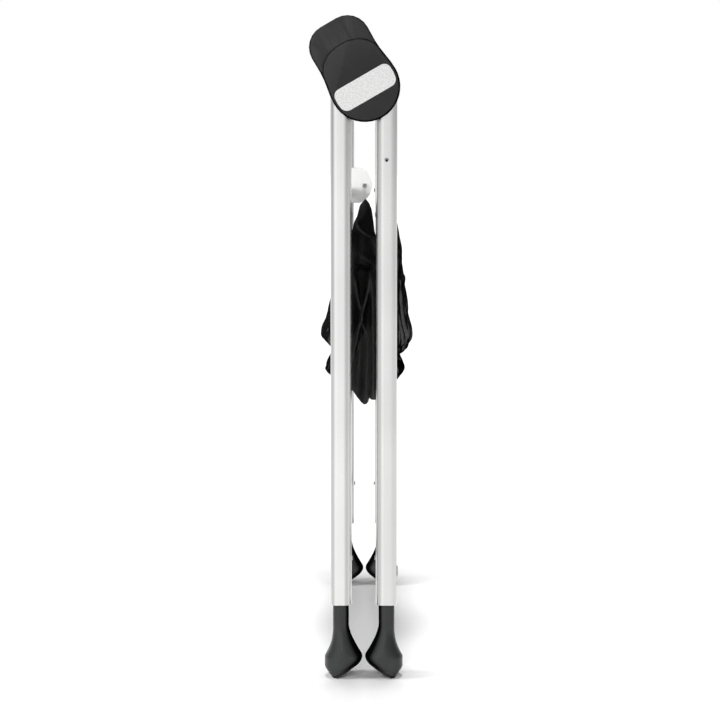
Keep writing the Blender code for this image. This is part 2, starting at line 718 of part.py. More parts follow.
def hinge_tongue(label, side, frame, alloy):
    bm = bmesh.new()
    shoulder_and_spigot(bm, 1, side)
    tongue = make_object(f"hinge_tongue_{label}", bm, alloy, frame)
    plane = side * LEG_PLANE
    arm = bmesh.new()
    side_prism(arm, arm_outline(1), plane - TONGUE_HALF, plane + TONGUE_HALF)
    add_boolean(tongue, "arm", arm, "UNION")
    add_pin_bore(tongue, side)

    # The lock pin's stem runs in an arc slot, and its collar drops into the hole at the slot's end.
    slot = bmesh.new()
    half = STEM_RADIUS + FIT_GAP
    closed = math.pi / 2 + HUB_TILT
    opened = closed - FOLD_ANGLE
    outline = arc((0.0, 0.0), LOCK_RADIUS + half, opened, closed, 10)
    outline += arc(lock_place(0.0), half, closed, closed + math.pi, 6)[1:-1]
    outline += arc((0.0, 0.0), LOCK_RADIUS - half, closed, opened, 10)
    side_prism(slot, outline, plane - TUBE_DEPTH, plane + TUBE_DEPTH)
    add_boolean(tongue, "lock_slot", slot)
    hole = bmesh.new()
    open_x, open_z = lock_place(1.0)
    cylinder(hole, (open_x, plane, open_z), (0.0, 1.0, 0.0), COLLAR_RADIUS + FIT_GAP, -TUBE_DEPTH,
             TUBE_DEPTH, 12)
    add_boolean(tongue, "lock_hole", hole)
    add_boolean(tongue, "rivet_bore", rivet_bore(1, side, 1))


def pivot_pin(label, side, hub, steel):
    bm = bmesh.new()
    tip = -CHEEK_OUTSIDE
    top = PIN_UNDER_HEAD + PIN_HEAD_HEIGHT
    profile = [(0.0, tip), (PIN_RADIUS - PIN_CHAMFER, tip), (PIN_RADIUS, tip + PIN_CHAMFER),
               (PIN_RADIUS, PIN_UNDER_HEAD), (PIN_HEAD_RADIUS, PIN_UNDER_HEAD), (PIN_HEAD_RADIUS, top),
               (0.0, top)]
    turned(bm, profile, (0.0, 0.0, 0.0), (0.0, side, 0.0), 16)
    make_object(f"pivot_pin_{label}", bm, steel, hub)


def pivot_washer(label, side, hub, nylon):
    bm = bmesh.new()
    low = side * (CHEEK_OUTSIDE + FIT_GAP)
    outer = circle((0.0, 0.0), PIN_HEAD_RADIUS)
    inner = circle((0.0, 0.0), PIN_RADIUS + FIT_GAP)
    hollow_prism(bm, outer, inner, low, low + side * WASHER_THICKNESS, upright=False)
    make_object(f"pivot_washer_{label}", bm, nylon, hub)


# Lock

def lock_pin(label, side, hub, steel):
    v, u = lock_centre()
    bm = bmesh.new()
    tail = -BACK_LEVEL - BUTTON_SOCKET_RISE
    front = CHEEK_INSIDE + COLLAR_LENGTH
    profile = [(0.0, tail), (STEM_RADIUS, tail), (STEM_RADIUS, CHEEK_INSIDE), (COLLAR_RADIUS, CHEEK_INSIDE),
               (COLLAR_RADIUS, front), (0.0, front)]
    turned(bm, profile, (v, 0.0, u), (0.0, side, 0.0), 12)
    make_object(f"lock_pin_{label}", bm, steel, hub, (v, 0.0, u))


def lock_spring(label, side, hub, steel):
    v, u = lock_centre()
    low = SPRING_START + SPRING_WIRE
    high = SPRING_END - SPRING_WIRE
    curve = bpy.data.curves.new(f"lock_spring_{label}", "CURVE")
    curve.dimensions = "3D"
    curve.bevel_depth = SPRING_WIRE
    curve.bevel_resolution = 0
    curve.use_fill_caps = True
    per_turn = 8
    total = SPRING_TURNS * per_turn
    spline = curve.splines.new("POLY")
    spline.points.add(total)
    for number, point in enumerate(spline.points):
        turn = math.tau * number / per_turn
        travel = side * (low + (high - low) * number / total)
        point.co = (SPRING_RADIUS * math.cos(turn), travel, SPRING_RADIUS * math.sin(turn), 1.0)
    spring = bpy.data.objects.new(f"lock_spring_{label}", curve)
    spring.parent = hub
    spring.location = (v, 0.0, u)
    curve.materials.append(steel)
    bpy.context.scene.collection.objects.link(spring)


def release_button(label, side, hub, plastic):
    v, u = lock_centre()
    bm = bmesh.new()
    inner = BACK_LEVEL - BUTTON_ENTRY
    outer = BACK_LEVEL + BUTTON_PROUD
    socket = BACK_LEVEL + BUTTON_SOCKET_RISE + FIT_GAP
    bore = STEM_RADIUS + FIT_GAP
    profile = [(0.0, socket), (bore, socket), (bore, inner), (BUTTON_RADIUS, inner),
               (BUTTON_RADIUS, outer - BUTTON_EDGE), (BUTTON_RADIUS - BUTTON_EDGE, outer),
               (0.0, outer - BUTTON_DISH)]
    turned(bm, profile, (v, 0.0, u), (0.0, -side, 0.0), 16)
    make_object(f"release_button_{label}", bm, plastic, hub, (v, 0.0, u))


# Legs

def leg_tube(name, hand, label, side, frame, metal):
    bm = bmesh.new()
    centre = (hand * LEG_OFFSET, side * LEG_PLANE)
    outer = rounded_rectangle(centre, TUBE_WIDTH, TUBE_DEPTH, TUBE_CORNER)
    inner = rounded_rectangle(centre, BORE_WIDTH, BORE_DEPTH, BORE_CORNER)
    hollow_prism(bm, outer, inner, TUBE_BOTTOM_HEIGHT - PIVOT_HEIGHT, -TUBE_TOP_DROP)
    tube = make_object(f"leg_tube_{name}_{label}", bm, metal, frame)
    bores = bmesh.new()
    for _, height, radius, _ in CROSS_BARS:
        start = (centre[0], centre[1], height - PIVOT_HEIGHT)
        cylinder(bores, start, (0.0, -side, 0.0), radius + FIT_GAP, BORE_DEPTH / 2 - BORE_CORNER,
                 TUBE_HALF_DEPTH + CUT_MARGIN)
        cylinder(bores, start, (-hand, 0.0, 0.0), RIVET_RADIUS + FIT_GAP, BORE_WIDTH / 2 - CUT_MARGIN,
                 TUBE_WIDTH / 2 + CUT_MARGIN, 8)
    start = (centre[0], centre[1], -LEG_RIVET_DROP)
    cylinder(bores, start, (0.0, side * hand, 0.0), RIVET_RADIUS + FIT_GAP, BORE_DEPTH / 2 - CUT_MARGIN,
             TUBE_HALF_DEPTH + CUT_MARGIN, 8)
    add_boolean(tube, "holes", bores)


def rivet_profile(grip, hollow=True):
    # A rivet from its tip at zero to its domed head past the grip length.
    head = grip + FIT_GAP
    profile = [(0.0, 0.0), (RIVET_RADIUS, 0.0), (RIVET_RADIUS, head), (RIVET_HEAD_RADIUS, head),
               (RIVET_HEAD_RADIUS, head + RIVET_HEAD_HEIGHT * RIVET_RIM_SHARE),
               (RIVET_HEAD_RADIUS * RIVET_CROWN_SHARE, head + RIVET_HEAD_HEIGHT)]
    if hollow:
        floor = head - RIVET_HEAD_HEIGHT
        return profile + [(RIVET_DIMPLE, head + RIVET_HEAD_HEIGHT), (RIVET_DIMPLE, floor), (0.0, floor)]
    return profile + [(0.0, head + RIVET_HEAD_HEIGHT)]


def leg_rivet(name, hand, label, side, frame, metal):
    bm = bmesh.new()
    facing = side * hand
    tip = side * LEG_PLANE + facing * (TUBE_HALF_DEPTH - LEG_RIVET_GRIP)
    start = (hand * LEG_OFFSET, tip, -LEG_RIVET_DROP)
    turned(bm, rivet_profile(LEG_RIVET_GRIP), start, (0.0, facing, 0.0), 10)
    make_object(f"leg_rivet_{name}_{label}", bm, metal, frame, start)


def cross_bar(kind, name, hand, height, radius, wall, frame, metal):
    bm = bmesh.new()
    centre = (hand * LEG_OFFSET, height - PIVOT_HEIGHT)
    end = LEG_PLANE - TUBE_HALF_DEPTH + BAR_INSERT
    hollow_prism(bm, circle(centre, radius, 16), circle(centre, radius - wall, 16), -end, end,
                 upright=False)
    bar = make_object(f"{kind}_{name}", bm, metal, frame)
    holes = bmesh.new()
    for side in HUBS.values():
        start = (centre[0], side * LEG_PLANE, centre[1])
        cylinder(holes, start, (-hand, 0.0, 0.0), RIVET_RADIUS + FIT_GAP, 0.0, radius + CUT_MARGIN, 8)
    add_boolean(bar, "rivet_holes", holes)


def bar_rivet(kind, name, hand, label, side, height, radius, wall, frame, metal):
    bm = bmesh.new()
    tip = LEG_OFFSET - radius + wall + RIVET_TAIL
    start = (hand * tip, side * LEG_PLANE, height - PIVOT_HEIGHT)
    turned(bm, rivet_profile(tip - INNER_FACE, hollow=False), start, (-hand, 0.0, 0.0), 8)
    make_object(f"{kind}_rivet_{name}_{label}", bm, metal, frame, start)


# Feet

def foot_rings(hand, side):
    # Level sections of the foot from the plug in the tube down to the floor. The neck flares out
    # to the widest level. Below it the inner side rounds in first, then the outer side to the tip.
    centre = (hand * LEG_OFFSET, side * LEG_PLANE)
    plug_foot = TUBE_BOTTOM_HEIGHT + PLUG_LIFT
    plug_top = plug_foot + PLUG_LENGTH
    rings = []
    for height, inset in ((plug_top, PLUG_CHAMFER), (plug_top - PLUG_CHAMFER, 0.0), (plug_foot, 0.0)):
        rings.append([(x, y, height - PIVOT_HEIGHT) for x, y in bore_filling(centre, inset)])
    neck_out = NECK_WIDTH / 2 + NECK_SHIFT
    neck_in = NECK_WIDTH / 2 - NECK_SHIFT
    sections = [(plug_foot, neck_out, neck_in, NECK_DEPTH, NECK_CORNER)]
    flare_steps = 6
    for step in range(flare_steps + 1):
        share = step / flare_steps
        height = NECK_END_HEIGHT + (FOOT_WIDEST_HEIGHT - NECK_END_HEIGHT) * share
        out_share = ease(max(0.0, share - FOOT_OUTER_START) / (1 - FOOT_OUTER_START))
        in_share = min(1.0, FOOT_INNER_FLARE * share ** FOOT_INNER_POWER)
        outer = neck_out + (FOOT_OUTER - neck_out) * out_share
        inner = neck_in + (FOOT_INNER - neck_in) * in_share
        depth = NECK_DEPTH + (FOOT_DEPTH - NECK_DEPTH) * ease(share)
        corner = NECK_CORNER + (FOOT_CORNER - NECK_CORNER) * share
        sections.append((height, outer, inner, depth, corner))
    tip_steps = 4
    for step in range(tip_steps + 1):
        height = FOOT_ROUNDING_HEIGHT * (1 - step / tip_steps)
        pulled = max(0.0, 1 - height / FOOT_TIP_HEIGHT) ** FOOT_TIP_POWER
        rounded = FOOT_ROUNDING * (step / tip_steps) ** FOOT_TIP_POWER
        outer = FOOT_OUTER - FOOT_TIP_SHIFT * pulled
        inner = max(FOOT_INNER_LEAST, FOOT_INNER - rounded)
        corner = FOOT_CORNER + (TIP_CORNER - FOOT_CORNER) * pulled
        sections.append((height, outer, inner, FOOT_DEPTH - TIP_NARROWING * pulled, corner))
    for height, outer, inner, depth, corner in sections:
        middle = hand * (LEG_OFFSET + (outer - inner) / 2)
        outline = rounded_rectangle((middle, side * LEG_PLANE), outer + inner, depth, corner)
        rings.append([(x, y, height - PIVOT_HEIGHT) for x, y in outline])
    return rings


def sole_plane(hand, lift):
    # The slanted plane of the sole, flat on the floor once the leg leans out by half the fold.
    contact = hand * (LEG_OFFSET + FOOT_OUTER - FOOT_TIP_SHIFT - FOOT_TIP_FLAT)
    normal = Vector((hand * math.sin(HUB_TILT), 0.0, math.cos(HUB_TILT)))
    return Vector((contact, 0.0, -PIVOT_HEIGHT)) + normal * lift, normal


def cut_foot(hand, side, lift, keep_above, floor_lift=None):
    bm = bmesh.new()
    loft(bm, foot_rings(hand, side))
    bmesh.ops.recalc_face_normals(bm, faces=bm.faces)
    for level, above in ((lift, keep_above), (floor_lift, True)):
        if level is None:
            continue
        point, normal = sole_plane(hand, level)
        cut = bmesh.ops.bisect_plane(bm, geom=bm.verts[:] + bm.edges[:] + bm.faces[:], plane_co=point,
                                     plane_no=normal, dist=1e-7, clear_inner=above, clear_outer=not above)
        edges = [item for item in cut["geom_cut"] if isinstance(item, bmesh.types.BMEdge)]
        bmesh.ops.holes_fill(bm, edges=edges, sides=0)
    return bm


def foot(name, hand, label, side, frame, plastic):
    bm = cut_foot(hand, side, SOLE_THICKNESS + FIT_GAP, True)
    make_object(f"foot_{name}_{label}", bm, plastic, frame)


def sole_pad(name, hand, label, side, frame, rubber):
    bm = cut_foot(hand, side, SOLE_THICKNESS, False, 0.0)
    make_object(f"sole_pad_{name}_{label}", bm, rubber, frame)


# Rail keeper

def rail_keeper(frame, nylon, steel):
    # A pale plate that holds the left rail against the far leg, with a round nose past the leg.
    face = LEG_PLANE - TUBE_HALF_DEPTH - FIT_GAP
    nose = (KEEPER_REACH - KEEPER_RADIUS, KEEPER_HEIGHT - PIVOT_HEIGHT)
    outline = arc(nose, KEEPER_RADIUS, -KEEPER_SPREAD, KEEPER_SPREAD, 14)
    outer = -LEG_OFFSET - RAIL_RADIUS - KEEPER_MARGIN
    outline += [(outer, outline[-1][1]), (outer, outline[0][1])]
    bm = bmesh.new()
    side_prism(bm, outline, face - KEEPER_THICKNESS, face)
    keeper = make_object("rail_keeper", bm, nylon, frame)
    holes = bmesh.new()
    start = (-LEG_OFFSET, face, RAIL_HEIGHT - PIVOT_HEIGHT)
    through = KEEPER_THICKNESS + CUT_MARGIN
    cylinder(holes, start, (0.0, 1.0, 0.0), RAIL_RADIUS + FIT_GAP, -through, CUT_MARGIN)
    add_boolean(keeper, "rail_hole", holes)
    place = (0.0, face, KEEPER_HEIGHT - PIVOT_HEIGHT)
    bore = bmesh.new()
    cylinder(bore, place, (0.0, 1.0, 0.0), RIVET_RADIUS + FIT_GAP, -through, CUT_MARGIN, 10)
    add_boolean(keeper, "rivet_hole", bore)
    rivet = bmesh.new()
    turned(rivet, rivet_profile(KEEPER_THICKNESS), place, (0.0, -1.0, 0.0), 10)
    make_object("rail_keeper_rivet", rivet, steel, frame, place)


# Cloth basket

def side_bundle_outline(hand, upper_lobe, spread):
    # One side of the gathered cloth: a sleeve round the rail, then two soft lobes below it.
    sleeve = RAIL_RADIUS + CLOTH_SLEEVE
    centre = (LEG_OFFSET, RAIL_HEIGHT)
    inner = CLOTH_FOLD_HALF + FIT_GAP
    rest = LEG_OFFSET + CLOTH_HIDDEN_HALF
    upper = (upper_lobe - rest) * spread
    lower = (CLOTH_LOWER_LOBE - rest) * spread
    shape = arc(centre, sleeve, 0.0, math.pi, 10)
    shape += [(inner + CLOTH_INNER_TOP_EASE, RAIL_HEIGHT - CLOTH_INNER_TOP_DROP),
              (inner, RAIL_HEIGHT - CLOTH_INNER_DROP), (inner, CLOTH_BOTTOM + CLOTH_HEM_RISE),
              (inner + CLOTH_HEM_ROUND, CLOTH_BOTTOM + CLOTH_HEM_ROUND),
              (LEG_OFFSET - CLOTH_HEM_SHIFT, CLOTH_BOTTOM), (rest, CLOTH_BOTTOM + CLOTH_HEM_SHOULDER)]
    height = CLOTH_BOTTOM
    for rise, reach in ((CLOTH_LOWER_LOBE_RISE, lower), (CLOTH_NOTCH_RISE, lower * CLOTH_NOTCH_SHARE),
                        (CLOTH_SHOULDER_RISE, upper * CLOTH_SHOULDER_SHARE),
                        (CLOTH_UPPER_LOBE_RISE, upper), (CLOTH_FLARE_RISE, upper * CLOTH_FLARE_SHARE),
                        (CLOTH_FLAT_RISE, upper * CLOTH_FLAT_SHARE)):
        height += rise
        shape.append((rest + reach, height))
    return [(hand * x, z - PIVOT_HEIGHT) for x, z in shape]


def side_bundle(name, hand, upper_lobe, frame, cloth):
    bm = bmesh.new()
    rings = []
    for share, spread in ((-1.0, 0.0), (-0.85, 0.35), (-0.4, 0.9), (0.0, 1.0), (0.4, 0.9), (0.85, 0.35),
                          (1.0, 0.0)):
        outline = side_bundle_outline(hand, upper_lobe, spread)
        rings.append([(x, CLOTH_END * share, z) for x, z in outline])
    loft(bm, rings)
    bundle = make_object(f"basket_{name}", bm, cloth, frame)
    tunnel = bmesh.new()
    centre = (hand * LEG_OFFSET, 0.0, RAIL_HEIGHT - PIVOT_HEIGHT)
    cylinder(tunnel, centre, (0.0, 1.0, 0.0), RAIL_RADIUS + FIT_GAP, -LEG_PLANE, LEG_PLANE)
    add_boolean(bundle, "rail_tunnel", tunnel)


def middle_bundle(frame, cloth):
    # The cloth that hangs between the rails, gathered into a peak at each end.
    half = CLOTH_FOLD_HALF
    start = RAIL_HEIGHT - CLOTH_PEAK_START
    shoulder = half * CLOTH_SHOULDER_WIDTH_SHARE
    peak = half * CLOTH_PEAK_WIDTH_SHARE
    bm = bmesh.new()
    rings = []
    steps = 4
    for step in range(-steps, steps + 1):
        share = step / steps
        droop = CLOTH_PEAK_DROOP * (1 - share * share)
        neck = RAIL_HEIGHT - CLOTH_PEAK_SHOULDER - droop
        top = RAIL_HEIGHT + CLOTH_PEAK_RISE - droop
        outline = [(half, CLOTH_BOTTOM), (half, start), (shoulder, neck), (peak, top), (-peak, top),
                   (-shoulder, neck), (-half, start), (-half, CLOTH_BOTTOM),
                   (0.0, CLOTH_BOTTOM - CLOTH_BELLY_DROP)]
        rings.append([(x, CLOTH_END * share, z - PIVOT_HEIGHT) for x, z in outline])
    loft(bm, rings)
    make_object("basket_middle", bm, cloth, frame)


def build():
    clear_scene()
    aluminium = make_material("satin_aluminium", (0.78, 0.78, 0.77), 0.32, 1.0)
    plastic = make_material("charcoal_plastic", (0.055, 0.056, 0.058), 0.5)
    foot_plastic = make_material("grey_foot_plastic", (0.07, 0.071, 0.074), 0.45)
    rubber = make_material("black_rubber", (0.03, 0.03, 0.03), 0.8)
    badge_metal = make_material("brushed_badge", (0.86, 0.87, 0.87), 0.3, 1.0)
    alloy = make_material("cast_alloy", (0.5, 0.5, 0.5), 0.5, 1.0)
    steel = make_material("zinc_steel", (0.6, 0.6, 0.62), 0.35, 1.0)
    nylon = make_material("pale_nylon", (0.85, 0.85, 0.83), 0.45)
    cloth = make_material("black_cloth", (0.02, 0.02, 0.02), 0.8)

    pivot = (0.0, 0.0, PIVOT_HEIGHT)
    frames = {"left": make_empty("left_frame_axis", pivot), "right": make_empty("right_frame_axis", pivot)}
    for label, side in HUBS.items():
        hub = make_empty(f"hub_axis_{label}", (0.0, side * LEG_PLANE, PIVOT_HEIGHT), -HUB_TILT)
        hub_cover(label, side, hub, plastic)
        hub_badge(label, side, hub, badge_metal)
        hub_back(label, side, hub, plastic)
        hub_screws(label, side, hub, steel)
        post_core(label, side, hub, nylon)
        pivot_pin(label, side, hub, steel)
        pivot_washer(label, side, hub, nylon)
        lock_pin(label, side, hub, steel)
        lock_spring(label, side, hub, steel)
        release_button(label, side, hub, plastic)
        hinge_fork(label, side, frames["left"], alloy)
        hinge_tongue(label, side, frames["right"], alloy)
        for name, hand in LEGS.items():
            frame = frames[name]
            leg_tube(name, hand, label, side, frame, aluminium)
            leg_rivet(name, hand, label, side, frame, aluminium)
            foot(name, hand, label, side, frame, foot_plastic)
            sole_pad(name, hand, label, side, frame, rubber)
            for kind, *sizes in CROSS_BARS:
                bar_rivet(kind, name, hand, label, side, *sizes, frame, steel)

    for name, hand in LEGS.items():
        frame = frames[name]
        for kind, *sizes in CROSS_BARS:
            cross_bar(kind, name, hand, *sizes, frame, steel)
    rail_keeper(frames["left"], nylon, steel)
    side_bundle("left", -1, CLOTH_UPPER_LOBE_LEFT, frames["left"], cloth)
    side_bundle("right", 1, CLOTH_UPPER_LOBE_RIGHT, frames["right"], cloth)
    middle_bundle(frames["left"], cloth)


build()
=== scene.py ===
# Folding bassinet stand, folded flat: finishes, tubes, feet and the gathered cloth basket.
import json
import math

import bmesh
import bpy
import numpy as np
from mathutils import Matrix, Vector, noise

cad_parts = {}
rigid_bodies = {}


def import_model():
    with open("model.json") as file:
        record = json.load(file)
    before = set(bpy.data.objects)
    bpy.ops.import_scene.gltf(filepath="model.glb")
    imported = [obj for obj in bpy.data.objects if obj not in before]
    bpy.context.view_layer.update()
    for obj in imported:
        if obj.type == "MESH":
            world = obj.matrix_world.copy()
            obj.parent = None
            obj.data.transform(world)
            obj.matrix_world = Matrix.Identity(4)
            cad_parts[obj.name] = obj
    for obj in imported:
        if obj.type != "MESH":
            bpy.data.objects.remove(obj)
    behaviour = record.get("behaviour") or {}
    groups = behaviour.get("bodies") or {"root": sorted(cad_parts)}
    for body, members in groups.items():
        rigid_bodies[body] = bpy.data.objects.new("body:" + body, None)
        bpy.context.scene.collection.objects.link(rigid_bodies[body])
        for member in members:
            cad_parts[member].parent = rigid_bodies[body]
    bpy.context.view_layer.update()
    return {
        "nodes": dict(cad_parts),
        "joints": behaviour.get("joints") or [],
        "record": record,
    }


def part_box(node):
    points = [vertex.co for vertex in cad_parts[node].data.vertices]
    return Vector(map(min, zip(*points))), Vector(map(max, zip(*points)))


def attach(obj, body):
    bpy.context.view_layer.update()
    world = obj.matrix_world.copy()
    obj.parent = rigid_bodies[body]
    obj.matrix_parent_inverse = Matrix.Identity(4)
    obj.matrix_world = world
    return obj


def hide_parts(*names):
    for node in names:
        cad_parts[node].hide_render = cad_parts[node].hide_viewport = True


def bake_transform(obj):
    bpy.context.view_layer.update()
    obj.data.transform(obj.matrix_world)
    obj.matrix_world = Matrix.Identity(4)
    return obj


for leftover in list(bpy.data.objects):
    bpy.data.objects.remove(leftover)

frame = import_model()
print("frame loaded:", len(frame["nodes"]), "nodes")

# The two leg frames along X and the two ends along Y
hands = {"left": -1, "right": 1}
sides = {"near": -1, "far": 1}
bodyOfHand = {"left": "root", "right": "right_frame"}


def middleOf(node):
    low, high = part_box(node)
    return (low + high) / 2


# Measures taken from the frame. The soles lie flat on the floor when the stand is open.
foldJoint = next(joint for joint in frame["joints"] if joint["name"] == "leg_fold")
soleTilt = math.radians(foldJoint["range_deg"][1]) / 2
legOffset = middleOf("leg_tube_right_near").x
legPlane = middleOf("leg_tube_right_far").y
railHeight = middleOf("basket_rail_left").z
tubeLow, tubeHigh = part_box("leg_tube_right_far")
tubeWidth = tubeHigh.x - tubeLow.x
tubeDepth = tubeHigh.y - tubeLow.y
tubeEnd = tubeLow.z


def clamped(value):
    return min(1.0, max(0.0, value))


def ease(value):
    return 0.5 - 0.5 * math.cos(math.pi * clamped(value))


def between(first, second, share):
    return first + (second - first) * share


def opaque(colour):
    return (*colour, 1.0)


def grey(level):
    return (level, level, level, 1.0)


# Helpers for shader nodes

def addNode(tree, kind, **settings):
    node = tree.nodes.new(kind)
    for key, value in settings.items():
        setattr(node, key, value)
    return node


def fillSocket(tree, socket, value):
    # Takes another node's output or a plain value.
    if isinstance(value, bpy.types.NodeSocket):
        tree.links.new(value, socket)
    else:
        socket.default_value = value


def mathNode(tree, operation, *values):
    node = addNode(tree, "ShaderNodeMath", operation=operation)
    for socket, value in zip(node.inputs, values):
        fillSocket(tree, socket, value)
    return node.outputs[0]


def productOf(tree, total, *factors):
    for factor in factors:
        total = mathNode(tree, "MULTIPLY", total, factor)
    return total


def rampNode(tree, source, stops):
    node = addNode(tree, "ShaderNodeMapRange", clamp=True)
    for title, value in zip(("From Min", "From Max", "To Min", "To Max"), stops):
        node.inputs[title].default_value = value
    tree.links.new(source, node.inputs["Value"])
    return node.outputs["Result"]


def greyRamp(tree, source, stops):
    # A grey level for each place from 0 to 1.
    node = addNode(tree, "ShaderNodeValToRGB")
    elements = node.color_ramp.elements
    while len(elements) < len(stops):
        elements.new(0.5)
    for element, (place, level) in zip(elements, stops):
        element.position = place
        element.color = grey(level)
    tree.links.new(source, node.inputs["Fac"])
    return node.outputs["Color"]


def mixColours(tree, factor, first, second):
    node = addNode(tree, "ShaderNodeMix", data_type="RGBA")
    tree.links.new(factor, node.inputs["Factor"])
    for source, title in ((first, "A"), (second, "B")):
        socket = next(item for item in node.inputs if item.name == title and item.type == "RGBA")
        fillSocket(tree, socket, source)
    return next(item for item in node.outputs if item.type == "RGBA")


def noiseNode(tree, vector, scale, detail):
    node = addNode(tree, "ShaderNodeTexNoise")
    tree.links.new(vector, node.inputs["Vector"])
    fillSocket(tree, node.inputs["Scale"], scale)
    node.inputs["Detail"].default_value = detail
    return node.outputs["Fac"]


def axisPart(tree, vector, axis):
    split = addNode(tree, "ShaderNodeSeparateXYZ")
    tree.links.new(vector, split.inputs[0])
    return split.outputs[axis]


def pointOf(tree, kind):
    return addNode(tree, "ShaderNodeTexCoord").outputs[kind]


# Node groups that several materials share

vectorKind, colourKind, floatKind = "NodeSocketVector", "NodeSocketColor", "NodeSocketFloat"
colourAndMask = [("Colour", colourKind), ("Mask", floatKind)]
heightAndShade = [("Height", floatKind), ("Shade", floatKind)]

# Values inside the groups. Four values together are a range: from low, from high, to low, to high.
patternLook = {
    "grainDetail": 3.0, "grainShade": (0.5, 1.3, -0.5, 0.5),
    "wearDetail": 5.0, "wornEdges": (0.54, 0.64, 0.0, 1.0), "wornPatches": (0.42, 0.66, 0.0, 1.0),
    "dustScale": 45.0, "dustDetail": 6.0, "dustUpward": (0.0, 1.0, 0.15, 1.0),
    "dustPatches": (0.35, 0.75, 0.0, 1.0),
    "drawnDetail": 4.0, "drawnShade": (0.3, 0.7, -0.5, 0.5),
    "threadWaver": 0.6, "waverScale": 2.0,
    "slubScale": 220.0, "slubDetail": 4.0, "slubShade": (0.3, 0.7, -0.5, 0.5),
    "driftDetail": 4.0, "driftRange": (0.35, 0.65, 0.0, 1.0)}

# Painted reflections: where the darker band colour shows across the folded legs, in metres from the
# middle
tubeReflectionBands = [(-0.0385, 0.70), (-0.0365, 0.80), (-0.0340, 0.0), (-0.0240, 0.0), (-0.0218, 0.70),
             (-0.0200, 0.90), (-0.0186, 0.55), (-0.0172, 0.05), (-0.0145, 0.0), (0.0145, 0.0),
             (0.0160, 0.35), (0.0178, 0.80), (0.0196, 1.0), (0.0207, 0.55), (0.0219, 0.0),
             (0.0230, 0.0), (0.0245, 0.20), (0.0330, 0.20), (0.0385, 0.45)]


def newGroup(name, inputs, outputs):
    group = bpy.data.node_groups.new(name, "ShaderNodeTree")
    for title, kind, value in inputs:
        socket = group.interface.new_socket(name=title, in_out="INPUT", socket_type=kind)
        if value is not None:
            socket.default_value = value
    for title, kind in outputs:
        group.interface.new_socket(name=title, in_out="OUTPUT", socket_type=kind)
    start, end = group.nodes.new("NodeGroupInput"), group.nodes.new("NodeGroupOutput")
    return group, start.outputs, end


def giveOut(group, end, **results):
    for title, source in results.items():
        group.links.new(source, end.inputs[title])
    return group


def giveMixed(group, given, end, mask, otherTitle):
    # The group's colour, gone over to its other one where the mask says so.
    colour = mixColours(group, mask, given["Colour"], given[otherTitle])
    return giveOut(group, end, Colour=colour, Mask=mask)


def buildMouldedGrain():
    # The fine spark-eroded texture of moulded plastic.
    group, given, end = newGroup(
        "moulded grain",
        [("Vector", vectorKind, None), ("Grains per metre", floatKind, 2200.0)],
        heightAndShade)
    pits = addNode(group, "ShaderNodeTexVoronoi", feature="SMOOTH_F1")
    group.links.new(given["Vector"], pits.inputs["Vector"])
    group.links.new(given["Grains per metre"], pits.inputs["Scale"])
    fine = noiseNode(group, given["Vector"], given["Grains per metre"], patternLook["grainDetail"])
    height = mathNode(group, "ADD", pits.outputs["Distance"], fine)
    return giveOut(group, end, Height=height,
                   Shade=rampNode(group, height, patternLook["grainShade"]))


def buildEdgeWear():
    # Rubbed convex edges, broken up by a noise.
    group, given, end = newGroup(
        "edge wear",
        [("Colour", colourKind, grey(0.05)), ("Worn colour", colourKind, grey(0.2)),
         ("Amount", floatKind, 0.5), ("Vector", vectorKind, None),
         ("Patches per metre", floatKind, 160.0)],
        colourAndMask)
    shape = addNode(group, "ShaderNodeNewGeometry")
    edges = rampNode(group, shape.outputs["Pointiness"], patternLook["wornEdges"])
    patches = noiseNode(group, given["Vector"], given["Patches per metre"],
                        patternLook["wearDetail"])
    broken = rampNode(group, patches, patternLook["wornPatches"])
    mask = productOf(group, edges, broken, given["Amount"])
    return giveMixed(group, given, end, mask, "Worn colour")


def buildDust():
    # A thin, patchy film of dust on what faces up.
    group, given, end = newGroup(
        "dust",
        [("Colour", colourKind, grey(0.05)), ("Dust colour", colourKind, (0.35, 0.34, 0.32, 1.0)),
         ("Amount", floatKind, 0.1), ("Vector", vectorKind, None)],
        colourAndMask)
    shape = addNode(group, "ShaderNodeNewGeometry")
    upward = rampNode(group, axisPart(group, shape.outputs["Normal"], "Z"),
                      patternLook["dustUpward"])
    cloud = noiseNode(group, given["Vector"], patternLook["dustScale"], patternLook["dustDetail"])
    broken = rampNode(group, cloud, patternLook["dustPatches"])
    mask = productOf(group, upward, broken, given["Amount"])
    return giveMixed(group, given, end, mask, "Dust colour")


def buildDrawnGrain():
    # Long fine lines, as drawing or brushing leaves them. Stretch sets their direction and density.
    group, given, end = newGroup(
        "drawn grain",
        [("Vector", vectorKind, None), ("Stretch", vectorKind, (900.0, 900.0, 6.0))],
        heightAndShade)
    point = addNode(group, "ShaderNodeVectorMath", operation="MULTIPLY")
    group.links.new(given["Vector"], point.inputs[0])
    group.links.new(given["Stretch"], point.inputs[1])
    lines = noiseNode(group, point.outputs[0], 1.0, patternLook["drawnDetail"])
    return giveOut(group, end, Height=lines,
                   Shade=rampNode(group, lines, patternLook["drawnShade"]))


